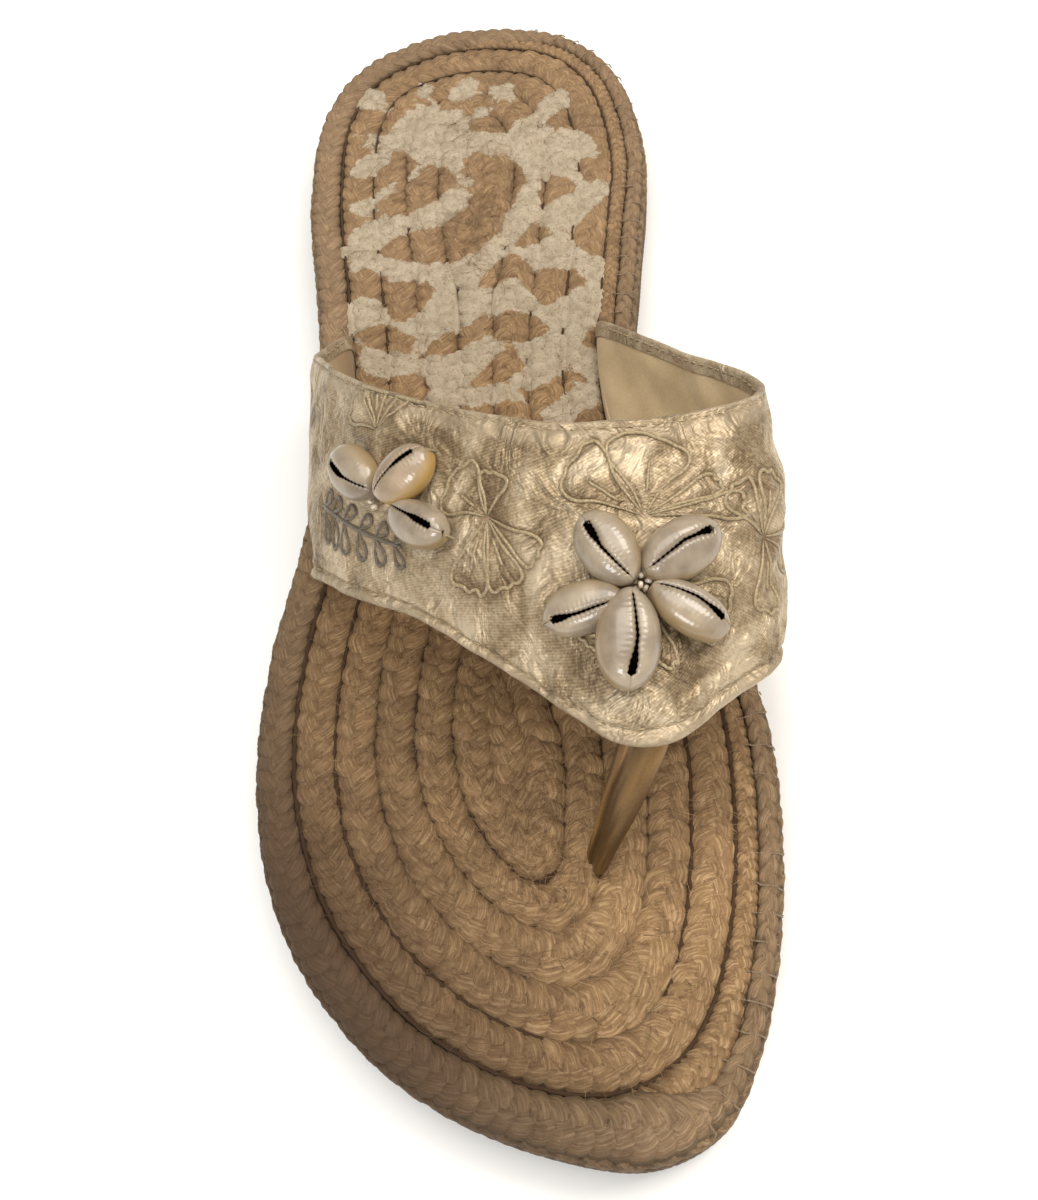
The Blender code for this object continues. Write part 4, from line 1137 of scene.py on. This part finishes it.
cords = []
for x, y, petals in embroidery["blooms"]:
    # Every petal is an outline of cord, and the larger ones have a vein.
    centre = tangentFrame(x, y)
    for first, last, reach, ruffle in petals:
        cords.append(onSurface(centre, petalOutline(first, last, reach, ruffle) * mm))
        if last - first > 30 and reach > 9:
            angle = math.radians(first + (last - first) * dice.uniform(0.35, 0.6))
            t = np.linspace(0.3, 0.7, 12) * reach * mm
            vein = np.column_stack([t * np.cos(angle + 4 * t), t * np.sin(angle + 4 * t)])
            cords.append(onSurface(centre, vein))
sprigFrame = tangentFrame(*embroidery["sprig"])
stem = curveThrough(np.array(embroidery["sprigStem"]) * mm, 10)
barbs = [onSurface(sprigFrame, stem)]
heading = alongOf(stem)
tau = np.linspace(0, 1, 16)[:, None]
for k in range(2, len(stem) - 2, 5):
    for turn, leafLong in zip((-0.95, 0.95), embroidery["leafLengths"]):
        leafLong = leafLong * (1 - 0.4 * k / len(stem))
        lean = np.array(rotatePair(*heading[k], -math.degrees(turn)))
        across = np.array([-lean[1], lean[0]])
        barbs.append(onSurface(sprigFrame, stem[k] + lean * leafLong * np.sin(np.pi * tau) ** 0.8
                               + across * 1.1 * mm * np.sin(2 * np.pi * tau)))

# The satin sinks under each cord and puffs up beside it.
threadPoints = [point for path, _ in cords + barbs for point in path]
lines = KDTree(len(threadPoints))
for index, point in enumerate(threadPoints):
    lines.insert(Vector(point), index)
lines.balance()
gap = np.array([lines.find(Vector(point))[2] for point in outer.reshape(-1, 3)]).reshape(outer.shape[:2]) / mm
relief = embroidery["puff"] * (0.6 * bell(gap, 1.7, 1.2) - bell(gap, 0, 0.7))
outer = outer + outerNormal * relief[..., None]
# It is duller along the hems. Painted shade darkens it at the needle holes, beside the cords and in the front
# seam.
plain = np.clip(bell(rearGap, 2.6, 1.9, 4) + bell(frontGap, 0, 2.5, 6), 0, 1)
holes = bell(rearGap, 1.35, 0.35)[None] * (0.5 + 0.5 * np.cos(2 * np.pi * rowRun / (2.1 * mm)))[:, None] ** 3
crease = np.minimum(1 - bell(gap, 0, 0.72), 1 - 0.8 * holes)
crease = np.minimum(crease, 1 - 0.55 * bell(frontGap, 2.7, 0.4)[None])

rearLip = strapSheet(np.linspace(lip, trim, 4), -half)
frontLip = strapSheet(np.linspace(1 - trim, 1 - lip, 4), -half)
satinGrid = np.concatenate([rearLip, edgeCurl(0)[:, ::-1], outer, edgeCurl(1), frontLip], axis=1)
turned = satinGrid.shape[1] - outer.shape[1]
pad = ((0, 0), (turned // 2, turned - turned // 2))
satin = newStock()
addGrid(satin, satinGrid, pairUp(rowRun[:, None], runOf(satinGrid[len(satinGrid) // 2])[None]), 0.5,
        np.pad(crease, pad, mode="edge"), np.pad(np.broadcast_to(plain, outer.shape[:2]), pad, mode="edge"))
meshPiece("strap_satin", satin, [goldSatin], "satin", "strap")

# Painted shade darkens the lining where it leaves the sole on the little-toe side.
lining = newStock()
liningShare = np.linspace(lip * 0.75, 1 - lip * 0.75, 40)
addGrid(lining, strapSheet(liningShare, -half + 0.22 * mm)[:, ::-1],
        pairUp(rowRun[:, None], liningShare[None] * 0.05),
        0.1 + 0.9 * smoothStep(rowRun, 8 * mm, 22 * mm)[:, None])
meshPiece("strap_lining", lining, [suededLining], "satin", "strap")
outerTree = treeOf(outer)
print("strap sewn")


sewing = {"stitchLength": 1.5 * mm, "stitchGap": 0.7 * mm, "threadRadius": 0.17 * mm,
          "rearInset": 1.35 * mm, "frontInset": 2.75 * mm}


def stitchRow(stock, line, normals):
    run = runOf(line)
    step = sewing["stitchLength"] + sewing["stitchGap"]
    for k in range(int(run[-1] / step)):
        at = (k + 0.5) * step + np.linspace(-0.5, 0.5, 7) * sewing["stitchLength"]
        path, up = (np.column_stack([np.interp(at, run, row[:, c]) for c in range(3)])
                    for row in (line, normals))
        rise = 0.14 * mm - 0.34 * mm * np.linspace(-1, 1, 7) ** 4
        addTube(stock, path + unit(up) * rise[:, None], sewing["threadRadius"], up=unit(up),
                tone=random.random(), taper=True)


topstitch = newStock()
rootSkip = 2 * strap["steps"] + 6
for share in (sewing["rearInset"] / meanWidth, 1 - sewing["frontInset"] / meanWidth):
    line, normals, within = (grid[rootSkip:-rootSkip, 0] for grid in (
        acrossAt(outer, outerShare, [share]), acrossAt(outerNormal, outerShare, [share]),
        strapSheet([share], -half)))
    stitchRow(topstitch, line, normals)
    stitchRow(topstitch, within, -normals)
meshPiece("strap_topstitch", topstitch, [strapThread], "satin", "strap")

motif, sprig = newStock(), newStock()
for stock, runs, radius in ((motif, cords, embroidery["cordRadius"]),
                            (sprig, barbs, embroidery["sprigRadius"])):
    for path, normals in runs:
        slim = embroidery["veinRadius"] if stock is motif and len(path) < 20 else radius
        addTube(stock, path - normals * 0.12 * mm, slim, up=normals, tone=random.random(), turn=0.6,
                taper=True)
meshPiece("strap_embroidery", motif, [motifThread], "satin", "strap")
meshPiece("strap_sprig", sprig, [sprigThread], "satin", "strap")
print("embroidery done")


# The two cowrie flowers, each at a point of the strap in mm.
flowers = {
    # angle from the big-toe side, reach, length, width, height, turn, then the slit's distance from the
    # middle at its inner end, halfway and at its outer end, its opening, where it gapes, roll, tip and lift
    "centre": ((18.2, -52.4), (
        ("cowrie_centre_1", 124.0, 7.0, 12.8, 8.9, 4.8, -7, (-0.5, 0.5, 0.3, 1.0), 0.15, 0, 0, 0.0),
        ("cowrie_centre_2", 30.5, 8.3, 14.0, 9.1, 4.9, -10, (0.2, 1.2, 0.4, 1.0), 0.35, 0, 0, 0.0),
        ("cowrie_centre_3", -47.5, 8.2, 13.4, 7.6, 4.4, 4, (0.0, 0.9, 0.5, 1.0), 0.3, 0, 0, 0.0),
        ("cowrie_centre_4", -111.5, 9.5, 15.4, 9.8, 5.2, 12, (0.4, 1.1, 0.2, 1.05), 0.25, 4, 0, 0.7),
        ("cowrie_centre_5", -163.0, 8.9, 12.8, 8.0, 4.3, -8, (0.9, 0.9, 0.3, 1.0), 0.25, 8, 0, 0.0),
    )),
    "side": ((-21.7, -23.2), (
        ("cowrie_side_1", 139.0, 5.8, 12.2, 8.9, 4.5, 11, (-0.3, 0.4, 0.0, 1.0), -0.1, 4, 12, 0.0),
        ("cowrie_side_2", 20.0, 8.7, 12.0, 8.4, 4.7, 22, (0.7, 1.0, 0.9, 0.62), 0.0, 4, 0, 0.0),
        ("cowrie_side_3", -25.0, 13.5, 13.2, 7.5, 4.3, 8, (1.2, 1.0, 0.6, 0.9), 0.0, 6, 0, 0.4),
    )),
}
shellShape = {"rows": 110, "flank": 15, "teeth": 17, "toothReach": 0.17 * mm, "ridge": 0.07 * mm,
              "slitDepth": 2.0 * mm, "tieRadius": 0.16 * mm}


def shellGrid(length, width, height, slit, gapes):
    s = -0.992 * np.cos(np.pi * np.arange(shellShape["rows"]) / (shellShape["rows"] - 1))
    swell = (1 - np.abs(s) ** 2.25) ** 0.56 * (1 + 0.05 * s)
    halfWide = width * mm / 2 * swell
    waist = height * mm * 0.30
    top = waist + (height * mm - waist) * (0.22 + 0.78 * swell)
    slitLine = mm * np.interp(s, (-0.9, -0.45, 0.0, 0.4, 0.8), (
        slit[0], slit[0] * 0.45 + slit[1] * 0.55, slit[1], slit[1] * 0.6 + slit[2] * 0.4, slit[2]))
    ends = smoothStep(s, -0.92, -0.80) * (1 - smoothStep(s, 0.70, 0.78))
    gape = 0.17 + 0.11 * smoothStep(s, -0.7, 0.1) + 0.35 * smoothStep(s, gapes - 0.1, gapes + 0.30)
    gape = gape * slit[3] * mm * ends + 0.02 * mm
    teeth = 0.5 + 0.5 * np.cos((s + 1) / 2 * shellShape["teeth"] * 2 * np.pi)
    bite = shellShape["toothReach"] * teeth * ends
    columns = []
    for side in (-1, 1):
        lipX = slitLine + side * np.maximum(gape - bite * 0.75, 0.04 * mm)
        part = []
        for t in np.linspace(-22, 84, shellShape["flank"]):
            angle = math.radians(t)
            x = lipX + (side * halfWide - lipX) * math.cos(angle) ** (0.92 if t > 0 else 1.0)
            fade = smoothStep(t, 64, 76) * (1 - 0.4 * smoothStep(t, 80, 90))
            z = waist + (top - waist) * math.sin(angle) - shellShape["ridge"] * (1 - teeth) * fade * ends
            if t < 0:
                z = waist + waist * math.sin(angle) / math.sin(math.radians(22))
            part.append((x, z, 1.0, max(0.0, 1 - max(t, 0) / 60) if side < 0 else 0.0))
        # The lips turn down into the slit; their low tone paints the shade in it, black at the bottom.
        for sink, inward, shade in ((0.08, 0.03, 0.55), (0.2, 0.04, 0.0), (1.0, -0.3, 0.0)):
            z = top - 0.12 * mm - shellShape["slitDepth"] * sink * (0.15 + 0.85 * ends)
            part.append((lipX - side * inward * mm, z, shade + (1 - ends) * (1 - shade) * 0.9, 0.0))
        columns += part[::-1] if side > 0 else part
    x, z, tone, stain = (np.stack([np.broadcast_to(column[k], s.shape) for column in columns], axis=1)
                         for k in range(4))
    return np.stack([np.broadcast_to(length * mm / 2 * s[:, None], x.shape), x, z], axis=-1), tone, stain


def placeShell(stock, middle, row):
    _, degrees, reach, length, width, height, swing, slit, gapes, roll, tip, lift = row
    spot, xAxis, yAxis, _ = middle
    outward, direction = (rotatePair(xAxis, yAxis, a)[0] for a in (degrees, degrees + swing))
    at, normal = surfaceSpot(spot + outward * reach * mm)
    heading = (direction - normal * normal.dot(direction)).normalized()
    across = normal.cross(heading)
    normal, across = rotatePair(normal, across, roll)
    heading, normal = rotatePair(heading, normal, tip)
    grid, tone, stain = shellGrid(length, width, height, slit, gapes)
    shell = grid @ np.array([heading, across, normal]) + np.array(at)
    # Lift until the rim of the shell just clears the satin all round.
    lowest = 1.0
    for i in range(0, len(grid), 6):
        for j in (0, -1):
            point = Vector(shell[i, j])
            near, _, _, distance = outerTree.find_nearest(point)
            lowest = min(lowest, distance if (point - near).dot(normal) > 0 else -distance)
    shell = shell + np.array(normal) * (0.05 * mm + lift * mm - max(lowest, -1.2 * mm))
    addGrid(stock, shell, shell[..., :2], tone, 1.0, stain, ring=True, caps=True)
    nextTone = np.roll(tone, -1, axis=1)
    dark = (tone[:-1] + tone[1:] + nextTone[:-1] + nextTone[1:]) / 4 < 0.42
    # The cord that ties the shell down, out of the wide end of its slit.
    t = np.linspace(0, 1, 9)[:, None]
    tie = (np.array(at) + np.array(heading) * length * mm * (0.35 + 0.19 * t)
           + np.array(across) * 0.3 * mm * t
           + np.array(normal) * height * mm * (0.70 - 0.30 * t ** 3 - 0.42 * t ** 12))
    return tie, np.array(across), [*dark.reshape(-1).astype(int), 0, 0]


ties = newStock()
for at, rows in flowers.values():
    middle = tangentFrame(*at)
    for row in rows:
        shellStock = newStock()
        tie, across, dark = placeShell(shellStock, middle, row)
        addTube(ties, tie, shellShape["tieRadius"], up=across, tone=0.8, turn=0.5)
        material = warmShell if row[0] == "cowrie_side_2" else paleShell
        meshPiece("shell_" + row[0], shellStock, [material, shellHollow], "shell", row[0], slots=dark)
meshPiece("shell_ties", ties, [motifThread], "satin", "cowrie_centre_1")

beads = {"radius": 0.62 * mm, "ring": 1.3 * mm, "topLift": 1.1 * mm,
         "sideSpots": ((-1.6, -1.0), (-0.8, -2.4))}


def addBead(stock, centre, normal, heading):
    # A seed bead: a fat ring with a small hole through it.
    normal, heading = np.array(normal), np.array(heading)
    axis = unit(heading - normal * heading.dot(normal))
    a = (2 * np.pi * np.arange(19) / 18)[:, None, None]
    b = (2 * np.pi * np.arange(12) / 12)[None, :, None]
    spoke = np.cross(normal, axis) * np.cos(a) + normal * np.sin(a)
    grid = centre + beads["radius"] * (spoke * (0.58 + 0.42 * np.cos(b)) + axis * 0.62 * np.sin(b))
    addGrid(stock, grid, grid[..., :2], ring=True)


ringTurns = [math.radians(85 + 72 * k) for k in range(5)]
beadSpots = {
    "centre": [(beads["ring"] * math.cos(a), beads["ring"] * math.sin(a), 0.0) for a in ringTurns]
    + [(0.0, 0.0, beads["topLift"])],
    "side": [(x * mm, y * mm, 0.0) for x, y in beads["sideSpots"]],
}
for key, spots in beadSpots.items():
    spot, xAxis, yAxis, _ = tangentFrame(*flowers[key][0])
    for index, (x, y, lift) in enumerate(spots):
        beadStock = newStock()
        at, out = surfaceSpot(spot + xAxis * x + yAxis * y)
        heading = (math.cos(index * 1.9), math.sin(index * 1.9), 0.35)
        addBead(beadStock, np.array(at + out * (beads["radius"] + 0.1 * mm + lift)), out, heading)
        name = "%s_%d" % (key, index + 1)
        meshPiece("seed_bead_" + name, beadStock, [lustreBead], "bead", "bead_" + name)
print("flowers sewn on")


post = {
    "base": (4.8, -82.9),
    "baseWidth": 4.6 * mm,
    "topWidth": 7.8 * mm,
    "thickness": 3.2 * mm,
    "tabThickness": 1.5 * mm,
    "baseTurn": math.radians(-72.0),
    "setback": 1.6 * mm,
    "tab": 11.0 * mm,
    # heights over the footbed of the foot and of the lip of its hole
    "heights": (-5.8 * mm, 0.3 * mm),
    # how far under the strap the front, the middle and the end of the tab lie
    "drops": (1.8 * mm, 1.5 * mm, 1.2 * mm),
    # the share of its width that is left in the hole, and where that starts and stops widening
    "pinch": (0.66, 5.4 * mm, 8.6 * mm),
    "girth": 15 * mm,
    "shin": (0.46, 0.36, 0.52),
    "turnFrom": 6.3 * mm,
    "steps": 12,
    # Round the section from the left: a rolled fold, a hollow, a soft crown and a flat back. The third
    # number is how bright the leather is painted there: a painted highlight on the rolled edge, painted shade
    # in the hollow.
    "section": ((-1.0, 0.0, 0.85), (-0.98, 0.55, 1.1), (-0.86, 0.95, 1.2), (-0.70, 1.0, 1.0),
                (-0.58, 0.72, 0.35), (-0.46, 0.50, 0.10), (-0.2, 0.55, 0.18), (0.1, 0.72, 0.45),
                (0.42, 0.82, 0.62), (0.72, 0.74, 0.60), (0.93, 0.45, 0.5), (1.0, 0.0, 0.4), (0.93, -0.5, 0.4),
                (0.6, -0.8, 0.4), (0.0, -0.85, 0.4), (-0.6, -0.8, 0.4), (-0.93, -0.5, 0.5)),
}
postTree = treeOf(strapSheet(np.linspace(0, 1, 24), 0.0))


def underStrap(back, drop):
    tipX = (strap["rows"][4][3] + strap["rows"][5][3]) / 2 * mm
    tipY = strap["rows"][4][4] * mm + post["setback"] + back
    hit, normal, _, _ = postTree.ray_cast(Vector((tipX, tipY, 0.0)), Vector((0, 0, 1)))
    if normal.z < 0:
        normal = -normal
    return np.array(hit - normal * (half + drop))


baseX, baseY = post["base"][0] * mm, post["base"][1] * mm
foot, lipPoint = (np.array([baseX, baseY, float(topAt(baseY)) + rise]) for rise in post["heights"])
tab = [underStrap(post["tab"] * share, drop) for share, drop in zip((0.0, 0.45, 1.0), post["drops"])]
shin = lipPoint + (tab[0] - lipPoint) * np.array(post["shin"])
postPath = curveThrough([foot, lipPoint, shin, *tab], post["steps"])
postRun = runOf(postPath)
stemEnd = postRun[3 * post["steps"]]
section, paintedShading = np.array(post["section"])[:, :2], np.array(post["section"])[:, 2]
leather = newStock()
rings = []
pinched, pinchFrom, pinchTo = post["pinch"]
for point, run, along in zip(postPath, postRun, alongOf(postPath)):
    rise = float(smoothStep((run - post["turnFrom"]) / (stemEnd - post["turnFrom"])))
    flat = float(smoothStep((run / stemEnd - 0.8) / 0.45))
    pinch = pinched + (1 - pinched) * float(smoothStep(run, pinchFrom, pinchTo))
    turn = post["baseTurn"] * (1 - rise)
    wide = np.array([math.cos(turn), math.sin(turn), 0.0])
    wide = unit(wide - along * wide.dot(along))
    halfWide = (post["baseWidth"] + (post["topWidth"] - post["baseWidth"]) * rise) / 2
    deep = post["thickness"] * (0.75 + 0.25 * rise)
    halfDeep = (deep + (post["tabThickness"] - post["thickness"]) * flat) / 2
    rings.append(point + pinch * (wide * halfWide * section[:, :1]
                                  + np.cross(wide, along) * halfDeep * section[:, 1:]))
addGrid(leather, np.array(rings), pairUp(np.linspace(0, post["girth"], len(section))[None], postRun[:, None]),
        tone=paintedShading[None], ring=True, caps=True)
meshPiece("post_leather", leather, [foiledLeather], "gold_leather", "toe_post")
print("toe post folded")


# Loose jute hairs, fewer on the paint and by the rim, and the frayed root of the strap.
hair = {"count": 2600, "radius": 0.036 * mm, "longest": 9 * mm, "scatter": 2.4 * mm, "steps": 7,
        "offPaint": 0.85, "offRim": 0.8, "rimGap": 6 * mm}
fray = {"count": 9, "radius": 0.09 * mm, "steps": 7, "stepLength": 0.88 * mm, "spacing": 0.7, "startY": 35}
fuzz = newStock()
loopPoints = np.vstack([loop for loop, _, _ in loops])
for k in range(hair["count"]):
    x, y = loopPoints[dice.integers(len(loopPoints))] + dice.normal(0, hair["scatter"], 2)
    if dice.random() < hair["offPaint"] and paintAt(x, y) > -0.5 and y > 0:
        continue
    if gapTo(np.array([[x, y]]), rimLine)[0] < hair["rimGap"] and dice.random() < hair["offRim"]:
        continue
    heading = dice.uniform(0, 2 * np.pi)
    step = hair["longest"] * dice.uniform(0.25, 1.0) / hair["steps"]
    bend = dice.normal(0, 1.1)
    crest = dice.uniform(0.2, 1.0) * mm
    points = []
    for t in np.linspace(0, 1, hair["steps"]):
        points.append((x, y, float(topAt(y)) - 0.25 * mm + crest * math.sin(math.pi * min(1.0, t * 1.1))))
        heading += bend / hair["steps"]
        x += step * math.cos(heading)
        y += step * math.sin(heading)
    addTube(fuzz, points, hair["radius"] * dice.uniform(0.7, 1.3), sides=3, tone=dice.random())
meshPiece("jute_hairs", fuzz, [plaitedJute], "jute", "footbed")

frayed = newStock()
for k in range(fray["count"]):
    y = (fray["startY"] - fray["spacing"] * k) * mm
    points = [np.array([float(sideX(rootInset, 34 * mm, -1)) + 0.4 * mm, y, float(topAt(y)) + 0.2 * mm])]
    heading = math.radians(100 + 24 * dice.standard_normal())
    for i in range(fray["steps"]):
        step = fray["stepLength"] * dice.uniform(0.6, 1.2)
        heading += dice.normal(0, 0.35)
        points.append(points[-1] + np.array([step * math.cos(heading), step * math.sin(heading),
                                             0.28 * mm * math.cos(i * 0.7)]))
    addTube(frayed, points, fray["radius"], sides=4, tone=dice.random())
meshPiece("frayed_threads", frayed, [strapThread], "satin", "strap")
print("hairs scattered")


# Plain pale floor, soft lights and the camera.
studio = {
    "floorShade": "#F4F3F1",
    "floorReach": 4,
    "worldShade": "#F2F0EC",
    "worldStrength": 0.5,
    # name, place, aim, size, watts, shade
    "lights": (
        ("key", (0.42, 0.05, 0.62), (0.0, -0.03, 0.02), (0.30, 0.30), 3.0, "#FFF9F0"),
        ("crown", (0.0, 0.05, 1.0), (0.0, -0.02, 0.02), (0.8, 0.7), 6.4, "#FFFDF8"),
        ("front", (-0.25, -0.7, 0.55), (0.0, -0.03, 0.03), (0.32, 0.24), 3.4, "#FFFFFF"),
    ),
}
view = {
    "spot": (8.98, -148.36, 231.10),
    "aim": (-2.23, -30.98, 13.0),
    "roll": -13.61,
    "sensor": 24.0,
    "lensFactor": 1.1209583,
}
scene = bpy.context.scene


def linked(name, data):
    made = bpy.data.objects.new(name, data)
    scene.collection.objects.link(made)
    return made


r = studio["floorReach"]
floorMesh = bpy.data.meshes.new("floor")
floorMesh.from_pydata([(-r, -r, 0), (r, -r, 0), (r, r, 0), (-r, r, 0)], [], [(0, 1, 2, 3)])
floorMesh.materials.append(
    startMaterial("paintedBoard", {"Base Color": studio["floorShade"], "Roughness": 0.9})[0])
floor = linked("floor", floorMesh)

world = bpy.data.worlds.new("studio")
world.use_nodes = True
setInputs(world.node_tree.nodes["Background"],
          {"Color": studio["worldShade"], "Strength": studio["worldStrength"]})
scene.world = world
for name, place, aim, size, watts, shade in studio["lights"]:
    data = bpy.data.lights.new(name, "AREA")
    data.shape = "RECTANGLE"
    data.size, data.size_y = size
    data.energy = watts
    data.color = hexColour(shade)[:3]
    light = linked(name, data)
    light.location = place
    light.rotation_euler = (Vector(aim) - Vector(place)).to_track_quat("-Z", "Y").to_euler()

cameraData = bpy.data.cameras.new("camera")
cameraData.sensor_fit = "VERTICAL"
cameraData.sensor_height = view["sensor"]
cameraData.lens = view["sensor"] * view["lensFactor"]
cameraData.clip_start = 0.01
camera = linked("camera", cameraData)
spot, aim = (Vector(view[key]) * mm + Vector(originShift) for key in ("spot", "aim"))
forward = (aim - spot).normalized()
right = forward.cross(Vector((0, 0, 1))).normalized()
right, up = rotatePair(right, right.cross(forward), view["roll"])
camera.matrix_world = Matrix.Translation(spot) @ Matrix((right, up, -forward)).transposed().to_4x4()
bpy.context.scene.camera = camera
scene.view_settings.view_transform = "Standard"

bpy.context.view_layer.update()
print("scene ready")
